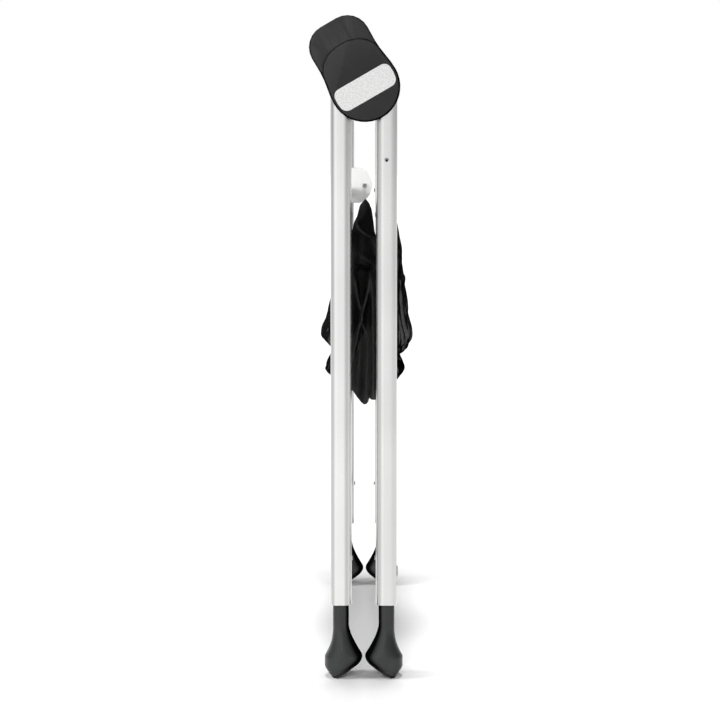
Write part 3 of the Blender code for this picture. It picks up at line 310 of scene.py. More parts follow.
def buildWeave():
    # A plain weave: two sets of threads that pass over and under each other.
    group, given, end = newGroup(
        "weave", [("Vector", vectorKind, None), ("Threads", floatKind, 900.0)], heightAndShade)
    waves = []
    for direction in ("X", "Y"):
        wave = addNode(group, "ShaderNodeTexWave", bands_direction=direction)
        wave.inputs["Distortion"].default_value = patternLook["threadWaver"]
        wave.inputs["Detail Scale"].default_value = patternLook["waverScale"]
        group.links.new(given["Vector"], wave.inputs["Vector"])
        group.links.new(given["Threads"], wave.inputs["Scale"])
        waves.append(wave.outputs["Fac"])
    slub = noiseNode(group, given["Vector"], patternLook["slubScale"], patternLook["slubDetail"])
    return giveOut(group, end, Height=mathNode(group, "MAXIMUM", *waves),
                   Shade=rampNode(group, slub, patternLook["slubShade"]))


def buildDrift():
    # Slow change of a colour over a surface.
    group, given, end = newGroup(
        "colour drift",
        [("Colour", colourKind, grey(0.5)), ("Other colour", colourKind, grey(0.6)),
         ("Vector", vectorKind, None), ("Patches per metre", floatKind, 20.0)],
        colourAndMask)
    cloud = noiseNode(group, given["Vector"], given["Patches per metre"],
                      patternLook["driftDetail"])
    mask = rampNode(group, cloud, patternLook["driftRange"])
    return giveMixed(group, given, end, mask, "Other colour")


def buildPaintedReflectionBands(bands):
    # Painted reflections: long light and dark bands along the tube, set across it by their place in
    # X.
    group, given, end = newGroup(
        "painted reflection bands",
        [("Colour", colourKind, grey(0.8)), ("Band colour", colourKind, grey(0.5)),
         ("Vector", vectorKind, None)],
        colourAndMask)
    reach = bands[-1][0]
    across = rampNode(group, axisPart(group, given["Vector"], "X"), (-reach, reach, 0.0, 1.0))
    stops = [((place + reach) / (2 * reach), level) for place, level in bands]
    return giveMixed(group, given, end, greyRamp(group, across, stops), "Band colour")


mouldedGrain = buildMouldedGrain()
paintedReflectionBands = buildPaintedReflectionBands(tubeReflectionBands)
edgeWear = buildEdgeWear()
dust = buildDust()
drawnGrain = buildDrawnGrain()
weave = buildWeave()
drift = buildDrift()
print("node groups built")


# Materials

# How much each pattern adds to a roughness
roughShare = {"grain": 0.12, "dust": 0.3, "drift": 0.05, "thread": 0.15}


def startMaterial(name, **sockets):
    material = bpy.data.materials.new(name)
    material.use_nodes = True
    tree = material.node_tree
    shader = tree.nodes["Principled BSDF"]
    for title, value in sockets.items():
        shader.inputs[title.replace("_", " ")].default_value = value
    return material, tree, shader


def useGroup(tree, group, vector, **values):
    node = addNode(tree, "ShaderNodeGroup", node_tree=group)
    tree.links.new(vector, node.inputs["Vector"])
    for title, value in values.items():
        fillSocket(tree, node.inputs[title.replace("_", " ")], value)
    return node.outputs


def driftColour(tree, point, look):
    return useGroup(tree, drift, point, Colour=opaque(look["colour"]),
                    Other_colour=opaque(look["otherColour"]), Patches_per_metre=look["patches"])


def wearColour(tree, point, look, colour):
    worn = useGroup(tree, edgeWear, point, Colour=colour, Worn_colour=opaque(look["wornColour"]),
                    Amount=look["wear"])
    return worn["Colour"]


def addBump(tree, shader, height, distance):
    bump = addNode(tree, "ShaderNodeBump")
    bump.inputs["Strength"].default_value = 1.0
    bump.inputs["Distance"].default_value = distance
    tree.links.new(height, bump.inputs["Height"])
    tree.links.new(bump.outputs["Normal"], shader.inputs["Normal"])


def varyRoughness(tree, shader, base, *parts):
    # Each part is a varying value and how much it adds to the base roughness.
    total = base
    for source, amount in parts:
        total = mathNode(tree, "ADD", productOf(tree, source, amount), total)
    tree.links.new(total, shader.inputs["Roughness"])


def paintRimShade(tree, shader, colour, look, shown=None):
    # Painted shade: where the surface turns away from the eye it goes over to its dark rim colour
    # and loses its gloss.
    turned = addNode(tree, "ShaderNodeLayerWeight").outputs["Facing"]
    rim = rampNode(tree, turned, (*look["rim"], 0.0, 1.0))
    if "outerRim" in look:
        # Painted shade: the sides that face the other leg are darker than the outer ones.
        place, normal = (axisPart(tree, pointOf(tree, kind), "X") for kind in ("Object", "Normal"))
        outwards = productOf(tree, mathNode(tree, "SIGN", place), normal)
        outer = rampNode(tree, outwards, (*look["outerTurn"], 1.0, look["outerRim"]))
        rim = productOf(tree, rim, outer)
    faded = mixColours(tree, rim, colour, opaque(look["rimShadeColour"]))
    tree.links.new(faded, shader.inputs["Base Color"])
    if "gloss" in look:
        kept = productOf(tree, mathNode(tree, "SUBTRACT", 1.0, rim), look["gloss"])
        if shown:
            kept = productOf(tree, kept, shown)
        shader.inputs["Specular IOR Level"].default_value = look["gloss"]
        tree.links.new(kept, shader.inputs["Specular IOR Level"])


def mouldedPlastic(name, look):
    material, tree, shader = startMaterial(name)
    point = pointOf(tree, "Object")
    grain = useGroup(tree, mouldedGrain, point, Grains_per_metre=look["grains"])
    colour = wearColour(tree, point, look, driftColour(tree, point, look)["Colour"])
    dusty = useGroup(tree, dust, point, Colour=colour, Amount=look["dust"])
    paintRimShade(tree, shader, dusty["Colour"], look)
    varyRoughness(tree, shader, look["roughness"], (grain["Shade"], roughShare["grain"]),
                  (dusty["Mask"], roughShare["dust"]))
    addBump(tree, shader, grain["Height"], look["grainDepth"])
    return material


def drawnMetal(name, look):
    material, tree, shader = startMaterial(name, Metallic=1.0)
    point = pointOf(tree, "Object")
    grain = useGroup(tree, drawnGrain, point, Stretch=look["stretch"])
    base = driftColour(tree, point, look)
    colour = wearColour(tree, point, look, base["Colour"])
    # Painted reflections: light and dark bands along the tube
    if "reflectionBandColour" in look:
        colour = useGroup(tree, paintedReflectionBands, point, Colour=colour,
                          Band_colour=opaque(look["reflectionBandColour"]))["Colour"]
    paintRimShade(tree, shader, colour, look)
    varyRoughness(tree, shader, look["roughness"], (grain["Shade"], look["grainShade"]),
                  (base["Mask"], roughShare["drift"]))
    addBump(tree, shader, grain["Height"], look["grainDepth"])
    return material


def wovenCloth(name, look):
    material, tree, shader = startMaterial(name, Sheen_Weight=look["sheen"],
                                           Sheen_Roughness=look["sheenRoughness"])
    flatPoint = pointOf(tree, "UV")
    threads = useGroup(tree, weave, flatPoint, Threads=look["threads"])
    dusty = useGroup(tree, dust, pointOf(tree, "Object"), Amount=look["dust"],
                     Colour=driftColour(tree, flatPoint, look)["Colour"])
    # Painted shade: valleys between the folds are darker and duller than the ridges.
    raised = addNode(tree, "ShaderNodeAttribute", attribute_name="foldHeight").outputs["Fac"]
    colour = mixColours(tree, raised, opaque(look["valleyShadeColour"]), dusty["Colour"])
    shown = rampNode(tree, raised, (0.0, 1.0, look["valleyGloss"], 1.0))
    paintRimShade(tree, shader, colour, look, shown)
    varyRoughness(tree, shader, look["roughness"], (threads["Shade"], roughShare["thread"]))
    addBump(tree, shader, threads["Height"], look["threadDepth"])
    return material


# Each rim colour is painted shade where the surface turns away from the eye
hubLook = {"colour": (0.036, 0.036, 0.037), "otherColour": (0.044, 0.044, 0.045), "patches": 30.0,
           "wornColour": (0.08, 0.08, 0.08), "wear": 0.1, "dust": 0.02, "gloss": 0.28,
           "roughness": 0.56, "grains": 2600.0, "grainDepth": 0.00005,
           "rim": (0.03, 0.17), "rimShadeColour": (0.003, 0.003, 0.003)}
footLook = {"colour": (0.030, 0.031, 0.032), "otherColour": (0.038, 0.039, 0.040),
            "patches": 36.0, "wornColour": (0.08, 0.08, 0.08), "wear": 0.15, "dust": 0.02,
            "gloss": 0.46, "roughness": 0.34, "grains": 3200.0, "grainDepth": 0.00003,
            "rim": (0.10, 0.34), "outerRim": 0.30, "outerTurn": (-0.2, 0.4),
            "rimShadeColour": (0.003, 0.003, 0.003)}
soleLook = {"colour": (0.022, 0.022, 0.022), "otherColour": (0.035, 0.034, 0.033),
            "patches": 60.0, "wornColour": (0.06, 0.06, 0.058), "wear": 0.4, "dust": 0.1,
            "gloss": 0.3, "roughness": 0.8, "grains": 1500.0, "grainDepth": 0.00008,
            "rim": (0.1, 0.7), "rimShadeColour": (0.004, 0.004, 0.004)}
nylonLook = {"colour": (0.92, 0.92, 0.90), "otherColour": (0.88, 0.88, 0.86), "patches": 40.0,
             "wornColour": (0.93, 0.93, 0.92), "wear": 0.2, "dust": 0.02, "gloss": 0.4,
             "roughness": 0.42, "grains": 2600.0, "grainDepth": 0.00002,
             "rim": (0.3, 0.9), "rimShadeColour": (0.30, 0.30, 0.29)}
tubeLook = {"colour": (0.84, 0.84, 0.835), "otherColour": (0.815, 0.815, 0.81), "patches": 9.0,
            "wornColour": (0.93, 0.93, 0.93), "wear": 0.3, "roughness": 0.27,
            "stretch": (1300.0, 1300.0, 5.0), "grainShade": 0.07, "grainDepth": 0.000004,
            "reflectionBandColour": (0.53, 0.53, 0.525), "rim": (0.6, 1.0), "rimShadeColour": (0.68, 0.68, 0.68)}
badgeLook = {"colour": (0.97, 0.97, 0.965), "otherColour": (0.79, 0.79, 0.785), "patches": 520.0,
             "wornColour": (0.95, 0.95, 0.95), "wear": 0.2, "roughness": 0.36,
             "stretch": (1500.0, 1500.0, 900.0), "grainShade": 0.16, "grainDepth": 0.00001,
             "rim": (0.1, 0.6), "rimShadeColour": (0.10, 0.10, 0.10)}
alloyLook = {"colour": (0.50, 0.50, 0.50), "otherColour": (0.44, 0.44, 0.44), "patches": 70.0,
             "wornColour": (0.7, 0.7, 0.7), "wear": 0.6, "roughness": 0.5,
             "stretch": (900.0, 900.0, 900.0), "grainShade": 0.15, "grainDepth": 0.00003,
             "rim": (0.5, 1.0), "rimShadeColour": (0.25, 0.25, 0.25)}
steelLook = {"colour": (0.60, 0.60, 0.61), "otherColour": (0.54, 0.545, 0.56), "patches": 90.0,
             "wornColour": (0.75, 0.75, 0.75), "wear": 0.5, "roughness": 0.34,
             "stretch": (700.0, 14.0, 700.0), "grainShade": 0.12, "grainDepth": 0.00001,
             "rim": (0.3, 1.0), "rimShadeColour": (0.20, 0.20, 0.20)}
clothLook = {"colour": (0.0070, 0.0069, 0.0066), "otherColour": (0.0100, 0.0097, 0.0090),
             "patches": 14.0, "sheen": 0.02, "sheenRoughness": 0.35, "gloss": 0.50,
             "roughness": 0.36, "dust": 0.01, "threads": 620.0, "threadDepth": 0.00012,
             "valleyShadeColour": (0.0025, 0.0025, 0.0024), "valleyGloss": 0.16,
             "rim": (0.24, 0.84), "rimShadeColour": (0.002, 0.002, 0.002)}

slotMaterials = {
    "hub_plastic": mouldedPlastic("charcoal moulded plastic", hubLook),
    "foot_plastic": mouldedPlastic("satin foot plastic", footLook),
    "sole_rubber": mouldedPlastic("ribbed sole rubber", soleLook),
    "pale_nylon": mouldedPlastic("pale nylon", nylonLook),
    "satin_aluminium": drawnMetal("satin anodised tube", tubeLook),
    "badge_metal": drawnMetal("brushed badge plate", badgeLook),
    "cast_alloy": drawnMetal("cast alloy", alloyLook),
    "zinc_steel": drawnMetal("zinc plated steel", steelLook),
    "black_cloth": wovenCloth("black basket cloth", clothLook)}
print("materials built:", len(slotMaterials))


# Helpers for pieces

mergeDistance = 1e-6
edgeAngle = 35.0    # degrees between two faces, from which their edge is sharp


def placeMesh(name, bm):
    mesh = bpy.data.meshes.new(name)
    bm.to_mesh(mesh)
    bm.free()
    piece = bpy.data.objects.new(name, mesh)
    bpy.context.scene.collection.objects.link(piece)
    return piece


def finishMesh(name, bm, slotName, sharpAngle=edgeAngle):
    piece = placeMesh(name, bm)
    piece.data.shade_smooth()
    piece.data.set_sharp_from_angle(angle=math.radians(sharpAngle))
    piece.data.materials.append(slotMaterials[slotName])
    return piece


def addBevel(piece, width, angle=edgeAngle):
    bevel = piece.modifiers.new("edge rounding", "BEVEL")
    bevel.width = width
    bevel.segments = 2
    bevel.limit_method = "ANGLE"
    bevel.angle_limit = math.radians(angle)
    bevel.harden_normals = True


# Carried over pieces: the solid's own shape, merged, with its edges rounded

bodyOfNode = {}
for bodyName, members in frame["record"]["behaviour"]["bodies"].items():
    for member in members:
        bodyOfNode[member] = bodyName

flatAngle = 0.6     # degrees, up to which neighbouring faces become one

# The material slot and the rounding of each kind of node that shows
dressedLook = {
    "hub_cover": ("hub_plastic", 0.0010), "hub_back": ("hub_plastic", 0.0006),
    "hub_badge": ("badge_metal", 0.0003), "release_button": ("hub_plastic", 0.0003),
    "hinge_fork": ("cast_alloy", 0.0004), "hinge_tongue": ("cast_alloy", 0.0004),
    "basket_rail_rivet": ("zinc_steel", 0.0002), "lower_bar_rivet": ("zinc_steel", 0.0002),
    "basket_rail": ("zinc_steel", 0.0), "lower_bar": ("zinc_steel", 0.0),
    "leg_rivet": ("satin_aluminium", 0.0002), "rail_keeper_rivet": ("satin_aluminium", 0.0002),
    "rail_keeper": ("pale_nylon", 0.0004)}

# Inner pieces keep the solid as it is and only get their material
hiddenLook = {
    "hub_screw": "zinc_steel", "lock_pin": "zinc_steel", "pivot_pin": "zinc_steel",
    "pivot_washer": "pale_nylon", "post_core": "pale_nylon"}


def kindOf(node, kinds):
    # The longest kind that the node's name starts with.
    found = [kind for kind in kinds if node == kind or node.startswith(kind + "_")]
    return max(found, key=len) if found else None


def copyNode(node, slotName, rounding):
    bm = bmesh.new()
    bm.from_mesh(frame["nodes"][node].data)
    bmesh.ops.remove_doubles(bm, verts=bm.verts, dist=mergeDistance)
    bmesh.ops.dissolve_limit(bm, angle_limit=math.radians(flatAngle), verts=bm.verts,
                             edges=bm.edges)
    piece = finishMesh(f"{node}_finished", bm, slotName)
    if rounding:
        addBevel(piece, rounding)
    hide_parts(node)
    return piece


def dressSpring(label):
    # Copied as it stands, with its placement baked into its mesh; it is attached to no body.
    node = f"lock_spring_{label}"
    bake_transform(copyNode(node, "zinc_steel", 0.0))


for node in sorted(frame["nodes"]):
    kind, hiddenKind = kindOf(node, dressedLook), kindOf(node, hiddenLook)
    if kind:
        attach(copyNode(node, *dressedLook[kind]), bodyOfNode[node])
    elif hiddenKind:
        mesh = frame["nodes"][node].data
        mesh.materials.clear()
        mesh.materials.append(slotMaterials[hiddenLook[hiddenKind]])
for label in sides:
    dressSpring(label)
print("solids dressed")


# Leg tubes

tubeShape = {"corner": 0.0085, "cornerSteps": 10, "wall": 0.0018, "rim": 0.0008,
             "sharpAngle": 60.0}


def makeTube(name, label):
    node = f"leg_tube_{name}_{label}"
    low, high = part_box(node)
    size = high - low
    bm = bmesh.new()
    block = Matrix.Translation((low + high) / 2) @ Matrix.Diagonal((*size, 1.0))
    bmesh.ops.create_cube(bm, size=1.0, matrix=block)
    upright = [edge for edge in bm.edges if edge.calc_length() > size.z / 2]
    bmesh.ops.bevel(bm, geom=upright, offset=tubeShape["corner"],
                    segments=tubeShape["cornerSteps"], profile=0.5, affect="EDGES", material=-1)
    ends = [face for face in bm.faces if abs(face.normal.z) > 0.9]
    bmesh.ops.delete(bm, geom=ends, context="FACES_ONLY")
    piece = finishMesh(f"{node}_drawn", bm, "satin_aluminium", tubeShape["sharpAngle"])
    wall = piece.modifiers.new("wall", "SOLIDIFY")
    wall.thickness = tubeShape["wall"]
    wall.offset = -1.0
    addBevel(piece, tubeShape["rim"], tubeShape["sharpAngle"])
    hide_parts(node)
    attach(piece, bodyOfHand[name])


# Feet and their soles

footShape = {
    "plugLength": 0.036, "plugLift": 0.003, "plugChamfer": 0.001, "fitGap": 0.0003,
    "neckWidth": 0.0190, "neckDepth": 0.025, "neckShift": 0.0005, "neckEnd": 0.062,
    "neckCorner": 0.0084, "depth": 0.042, "outer": 0.0200, "inner": 0.0252, "widest": 0.0245,
    "outerFlare": 1.0, "outerPower": 2.4, "innerFlare": 1.05, "innerPower": 1.5,
    "roundingHeight": 0.0225, "rounding": 0.0245, "roundingPower": 1.6, "innerLeast": 0.0125,
    "tipHeight": 0.0125, "tipShift": 0.0095, "tipFlat": 0.005, "tipPower": 1.25,
    "corner": 0.0200, "tipCorner": 0.0080, "tipNarrowing": 0.006, "sole": 0.003,
    "cornerSteps": 8, "flareSteps": 22, "tipSteps": 20, "edge": 0.0003, "sharpAngle": 40.0}


def roundedRectangle(centre, width, depth, corner, steps):
    points = []
    for number, (sideX, sideY) in enumerate(((1, 1), (-1, 1), (-1, -1), (1, -1))):
        middle = (centre[0] + sideX * (width / 2 - corner),
                  centre[1] + sideY * (depth / 2 - corner))
        for step in range(steps + 1):
            turn = (number + step / steps) * math.pi / 2
            points.append((middle[0] + corner * math.cos(turn),
                           middle[1] + corner * math.sin(turn)))
    return points


def footSections(shape):
    # Height, reach outwards, reach inwards, depth and corner of each level section.
    neckOut = shape["neckWidth"] / 2 + shape["neckShift"]
    neckIn = shape["neckWidth"] / 2 - shape["neckShift"]
    inset = tubeShape["wall"] + shape["fitGap"]
    boreReach = tubeWidth / 2 - inset
    boreDepth = tubeDepth - 2 * inset
    boreCorner = tubeShape["corner"] - inset
    plugFoot = tubeEnd + shape["plugLift"]
    plugTop = plugFoot + shape["plugLength"]
    chamfer = shape["plugChamfer"]
    sections = [(plugTop, boreReach - chamfer, boreReach - chamfer, boreDepth - 2 * chamfer,
                 boreCorner - chamfer)]
    for height in (plugTop - chamfer, plugFoot):
        sections.append((height, boreReach, boreReach, boreDepth, boreCorner))
    sections.append((plugFoot, neckOut, neckIn, shape["neckDepth"], shape["neckCorner"]))
    for step in range(shape["flareSteps"] + 1):
        share = step / shape["flareSteps"]
        outShare = min(1.0, shape["outerFlare"] * share ** shape["outerPower"])
        inShare = min(1.0, shape["innerFlare"] * share ** shape["innerPower"])
        sections.append((between(shape["neckEnd"], shape["widest"], share),
                         between(neckOut, shape["outer"], outShare),
                         between(neckIn, shape["inner"], inShare),
                         between(shape["neckDepth"], shape["depth"], ease(share)),
                         between(shape["neckCorner"], shape["corner"], share)))
    for step in range(shape["tipSteps"] + 1):
        share = step / shape["tipSteps"]
        height = shape["roundingHeight"] * (1 - share)
        pulled = max(0.0, 1 - height / shape["tipHeight"]) ** shape["tipPower"]
        rounded = shape["rounding"] * share ** shape["roundingPower"]
        sections.append((height, shape["outer"] - shape["tipShift"] * pulled,
                         max(shape["innerLeast"], shape["inner"] - rounded),
                         shape["depth"] - shape["tipNarrowing"] * pulled,
                         between(shape["corner"], shape["tipCorner"], pulled)))
    return sections


def makeFootPart(name, label, kind, slotName, cuts):
    # The whole foot is skinned from its sections, then cut by the slanted plane of its sole.
    # Each cut is a height over that plane, and whether what lies above it stays.
    hand, side, shape = hands[name], sides[label], footShape
    bm = bmesh.new()
    loops = []
    for height, outer, inner, depth, corner in footSections(shape):
        middle = (hand * (legOffset + (outer - inner) / 2), side * legPlane)
        outline = roundedRectangle(middle, outer + inner, depth, corner, shape["cornerSteps"])
        verts = [bm.verts.new((x, y, height)) for x, y in outline]
        loops.append([bm.edges.new((vert, verts[number - 1])) for number, vert in enumerate(verts)])
    for upper, lower in zip(loops, loops[1:]):
        bmesh.ops.bridge_loops(bm, edges=upper + lower)
    bmesh.ops.contextual_create(bm, geom=loops[0])
    bmesh.ops.contextual_create(bm, geom=loops[-1])
    bmesh.ops.recalc_face_normals(bm, faces=bm.faces)
    contact = hand * (legOffset + shape["outer"] - shape["tipShift"] - shape["tipFlat"])
    normal = Vector((hand * math.sin(soleTilt), 0.0, math.cos(soleTilt)))
    for level, above in cuts:
        everything = bm.verts[:] + bm.edges[:] + bm.faces[:]
        point = Vector((contact, 0.0, 0.0)) + normal * level
        cut = bmesh.ops.bisect_plane(bm, geom=everything, plane_co=point, plane_no=normal,
                                     dist=1e-7, clear_inner=above, clear_outer=not above)
        edges = [item for item in cut["geom_cut"] if isinstance(item, bmesh.types.BMEdge)]
        bmesh.ops.holes_fill(bm, edges=edges, sides=0)
    bmesh.ops.remove_doubles(bm, verts=bm.verts, dist=mergeDistance)
    bmesh.ops.recalc_face_normals(bm, faces=bm.faces)
    node = f"{kind}_{name}_{label}"
    piece = finishMesh(f"{node}_moulded", bm, slotName, shape["sharpAngle"])
    addBevel(piece, shape["edge"], shape["sharpAngle"])
    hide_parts(node)
    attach(piece, bodyOfHand[name])


footCuts = [(footShape["sole"] + footShape["fitGap"], True)]
soleCuts = [(footShape["sole"], False), (0.0, True)]


# A dark disc just proud of the head of the rivet near the top of a leg: painted shade for its hole

rivetHoleShade = {"radius": 0.0018, "depth": 0.0006, "proud": 0.00010, "segments": 20}


def makeRivetHoleShade(name, label):
    facing = sides[label] * hands[name]
    low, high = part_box(f"leg_rivet_{name}_{label}")
    middle = (low + high) / 2
    front = high.y if facing > 0 else low.y
    front += facing * (rivetHoleShade["proud"] - rivetHoleShade["depth"] / 2)
    bm = bmesh.new()
    turned = Matrix.Translation((middle.x, front, middle.z)) @ Matrix.Rotation(math.pi / 2, 4, "X")
    bmesh.ops.create_cone(bm, cap_ends=True, segments=rivetHoleShade["segments"],
                          radius1=rivetHoleShade["radius"], radius2=rivetHoleShade["radius"],
                          depth=rivetHoleShade["depth"], matrix=turned)
    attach(finishMesh(f"leg_rivet_hole_shade_{name}_{label}", bm, "sole_rubber"), bodyOfHand[name])


for name in hands:
    for label in sides:
        makeTube(name, label)
        makeFootPart(name, label, "foot", "foot_plastic", footCuts)
        makeFootPart(name, label, "sole_pad", "sole_rubber", soleCuts)
        makeRivetHoleShade(name, label)
print("tubes and feet made")


# Cloth basket

clothShape = {
    "thickness": 0.0009, "blendHalf": 0.0175, "rest": 0.0345, "sharpAngle": 80.0,
    "sleeve": 0.0079, "sleeveAngle": 235.0, "sleeveSteps": 7, "curveSteps": 12}

# The cloth from rail to rail. Its ends and its free parts are lifted.
bodyShape = {
    "end": 0.2292, "lobeReach": 0.52, "columns": 340, "rows": 104,
    "endLift": 0.024, "endLiftFrom": 0.40, "endLiftFade": 0.08,
    "lift": 0.0041, "liftFrom": 0.01, "liftFade": 0.03}

# How the body is pushed in and out, and how high a point counts for the painted shade of its
# valleys
crumple = {
    "amount": 0.0013, "scale": (70.0, 26.0, 34.0), "seed": 3.0, "from": 0.012, "fade": 0.05,
    "softScale": 2.3, "softSeed": 7, "ridgeLevel": 0.4, "softShare": 0.5,
    "height": 0.50, "ridgeMiddle": 0.5, "ridgeHeight": 0.9, "softHeight": 0.8}

# The section's outer line at mid depth, from the rail down to the bottom, as (x, z) pairs
rightLine = [(0.0375, 0.548), (0.0400, 0.540), (0.0430, 0.524), (0.0464, 0.501), (0.0490, 0.479),
             (0.0506, 0.462), (0.0532, 0.4565), (0.0528, 0.446), (0.0540, 0.435), (0.0562, 0.417),
             (0.0580, 0.404), (0.0592, 0.3995), (0.0622, 0.3865), (0.0606, 0.3775),
             (0.0574, 0.372), (0.0556, 0.3655), (0.0480, 0.3600), (0.0400, 0.3575),
             (0.0385, 0.3560), (0.0400, 0.3545), (0.0490, 0.3450), (0.0516, 0.3380),
             (0.0496, 0.3312), (0.0440, 0.3245), (0.0370, 0.3190), (0.0280, 0.3150),
             (0.0150, 0.3140)]
leftLine = [(0.0355, 0.545), (0.0366, 0.520), (0.0376, 0.495), (0.0388, 0.465), (0.0406, 0.445),
            (0.0428, 0.426), (0.0470, 0.413), (0.0504, 0.402), (0.0556, 0.3825), (0.0528, 0.3775),
            (0.0430, 0.3695), (0.0375, 0.3650), (0.0365, 0.3590), (0.0385, 0.3550),
            (0.0428, 0.3520), (0.0500, 0.3395), (0.0490, 0.3340), (0.0430, 0.3300),
            (0.0340, 0.3220), (0.0250, 0.3160), (0.0140, 0.3145)]

bodyCut = (0.63, 0.47)      # across from rail to rail and along the rails
panelCut = (0.090, 0.240)   # one gathered end


def smoothCurve(points, count):
    # Evenly spaced points on a curve through the given ones.
    knots = np.array([points[0], *points, points[-1]], float)
    dense = []
    for number in range(1, len(knots) - 2):
        a, b, c, d = knots[number - 1:number + 3]
        for share in np.linspace(0.0, 1.0, clothShape["curveSteps"], endpoint=False):
            dense.append(0.5 * (2 * b + (c - a) * share + (2 * a - 5 * b + 4 * c - d) * share ** 2
                                + (3 * b - a - 3 * c + d) * share ** 3))
    dense.append(knots[-1])
    dense = np.array(dense)
    travel = np.concatenate([[0.0], np.cumsum(np.linalg.norm(np.diff(dense, axis=0), axis=1))])
    even = np.linspace(0.0, travel[-1], count)
    return np.stack([np.interp(even, travel, dense[:, axis]) for axis in (0, 1)], axis=1)


def sleeveTurn():
    # From under the rail's inner side, over its top, to its outer side.
    points = []
    for step in range(clothShape["sleeveSteps"]):
        turn = between(math.radians(clothShape["sleeveAngle"]), 0.0,
                       step / (clothShape["sleeveSteps"] - 1))
        points.append((legOffset + clothShape["sleeve"] * math.cos(turn),
                       railHeight + clothShape["sleeve"] * math.sin(turn)))
    return points


def basketSection(spread, count):
    # The lobes spread fully at mid depth and draw in to the legs towards the ends.
    halves = []
    for hand, line in ((1, rightLine), (-1, leftLine)):
        pulled = []
        for x, z in line:
            reach = between(clothShape["rest"], x, spread) if x > clothShape["rest"] else x
            pulled.append((reach, z))
        halves.append([(hand * x, z) for x, z in sleeveTurn() + pulled])
    return smoothCurve(halves[1] + halves[0][::-1], count)


def wrinkle(point, scale, seed):
    x, y, z = (value * factor for value, factor in zip(point, scale))
    return noise.noise(Vector((x + seed, y, z)))


def gridMesh(columns, rows, place):
    # A grid laid out by a function of its two shares. Its UV map runs from 0 to 1 each way.
    bm = bmesh.new()
    bm.loops.layers.uv.new("UVMap")
    bmesh.ops.create_grid(bm, x_segments=columns, y_segments=rows, size=0.5, calc_uvs=True)
    for vert in bm.verts:
        vert.co = place(clamped(vert.co.x + 0.5), clamped(vert.co.y + 0.5))
    bmesh.ops.recalc_face_normals(bm, faces=bm.faces)
    return bm


def crumpleBody(bm):
    # Pushes the cloth in and out along its normals, most where it hangs free.
    bm.normal_update()
    raised = bm.verts.layers.float.new("foldHeight")
    softScale = tuple(crumple["softScale"] * value for value in crumple["scale"])
    moves = []
    for vert in bm.verts:
        free = clamped((railHeight - crumple["from"] - vert.co.z) / crumple["fade"])
        ridged = 1 - 2 * abs(wrinkle(vert.co, crumple["scale"], crumple["seed"]))
        soft = wrinkle(vert.co, softScale, crumple["seed"] + crumple["softSeed"])
        push = ridged - crumple["ridgeLevel"] + crumple["softShare"] * soft
        moves.append(vert.normal * crumple["amount"] * free * push)
        # How high the point stands, for the painted shade and dulled gloss of the valleys
        vert[raised] = clamped(crumple["height"] + crumple["softHeight"] * soft
                               + crumple["ridgeHeight"] * (ridged - crumple["ridgeMiddle"]))
    for vert, move in zip(bm.verts, moves):
        vert.co += move


def finishCloth(name, bm, flat, replaced):
    uvLayer = bm.loops.layers.uv.active
    for face in bm.faces:
        for loop in face.loops:
            loop[uvLayer].uv = (loop[uvLayer].uv.x * flat[0], loop[uvLayer].uv.y * flat[1])
    piece = finishMesh(name, bm, "black_cloth", clothShape["sharpAngle"])
    thick = piece.modifiers.new("cloth thickness", "SOLIDIFY")
    thick.thickness = clothShape["thickness"]
    thick.offset = 0.0
    area = sum(face.area for face in piece.data.polygons)
    print(f"{name}: {area:.4f} square metres, cut from {flat[0] * flat[1]:.4f}")
    if replaced:
        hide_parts(*replaced)
    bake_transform(piece)


def makeBasketBody():
    sections = {}
    columns = bodyShape["columns"]

    def place(across, along):
        reach = abs(2 * along - 1)
        if along not in sections:
            spread = math.exp(-(reach / bodyShape["lobeReach"]) ** 2)
            sections[along] = basketSection(spread, columns + 1)
        x, z = sections[along][round(across * columns)]
        low = clamped((bodyShape["endLiftFrom"] - z) / bodyShape["endLiftFade"])
        free = clamped((railHeight - bodyShape["liftFrom"] - z) / bodyShape["liftFade"])
        lift = bodyShape["endLift"] * low * reach + bodyShape["lift"] * free
        return Vector((x, bodyShape["end"] * (2 * along - 1), z + lift))

    bm = gridMesh(columns, bodyShape["rows"], place)
    crumpleBody(bm)
    finishCloth("basket_cloth_body", bm, bodyCut, ["basket_left", "basket_right"])


# The gathered ends. Hems and bottoms are (x, z) pairs.
nearHem = [(-0.0345, 0.545), (-0.027, 0.547), (-0.022, 0.528), (-0.0175, 0.520), (-0.0142, 0.534),
           (-0.0113, 0.5472), (-0.0074, 0.5560), (-0.0045, 0.5668), (-0.0010, 0.5715),
           (0.0022, 0.5748), (0.0060, 0.5700), (0.0091, 0.5622), (0.0108, 0.5510),
           (0.0125, 0.5363), (0.0150, 0.5260), (0.0185, 0.5160), (0.0225, 0.530), (0.027, 0.547),
           (0.0345, 0.545)]
farHem = [(-0.0345, 0.545), (-0.027, 0.547), (-0.018, 0.505), (-0.008, 0.490), (0.004, 0.486),
          (0.014, 0.492), (0.020, 0.510), (0.027, 0.547), (0.0345, 0.545)]
nearBottom = [(-0.0345, 0.332), (-0.020, 0.342), (-0.0145, 0.3460), (-0.0094, 0.3375),
              (-0.0033, 0.3294), (0.0003, 0.3265), (0.0034, 0.3275), (0.0053, 0.3306),
              (0.0062, 0.3348), (0.0088, 0.3327), (0.0149, 0.3320), (0.022, 0.336),
              (0.0345, 0.332)]
farBottom = [(-0.0345, 0.330), (-0.010, 0.326), (0.008, 0.331), (0.0345, 0.330)]

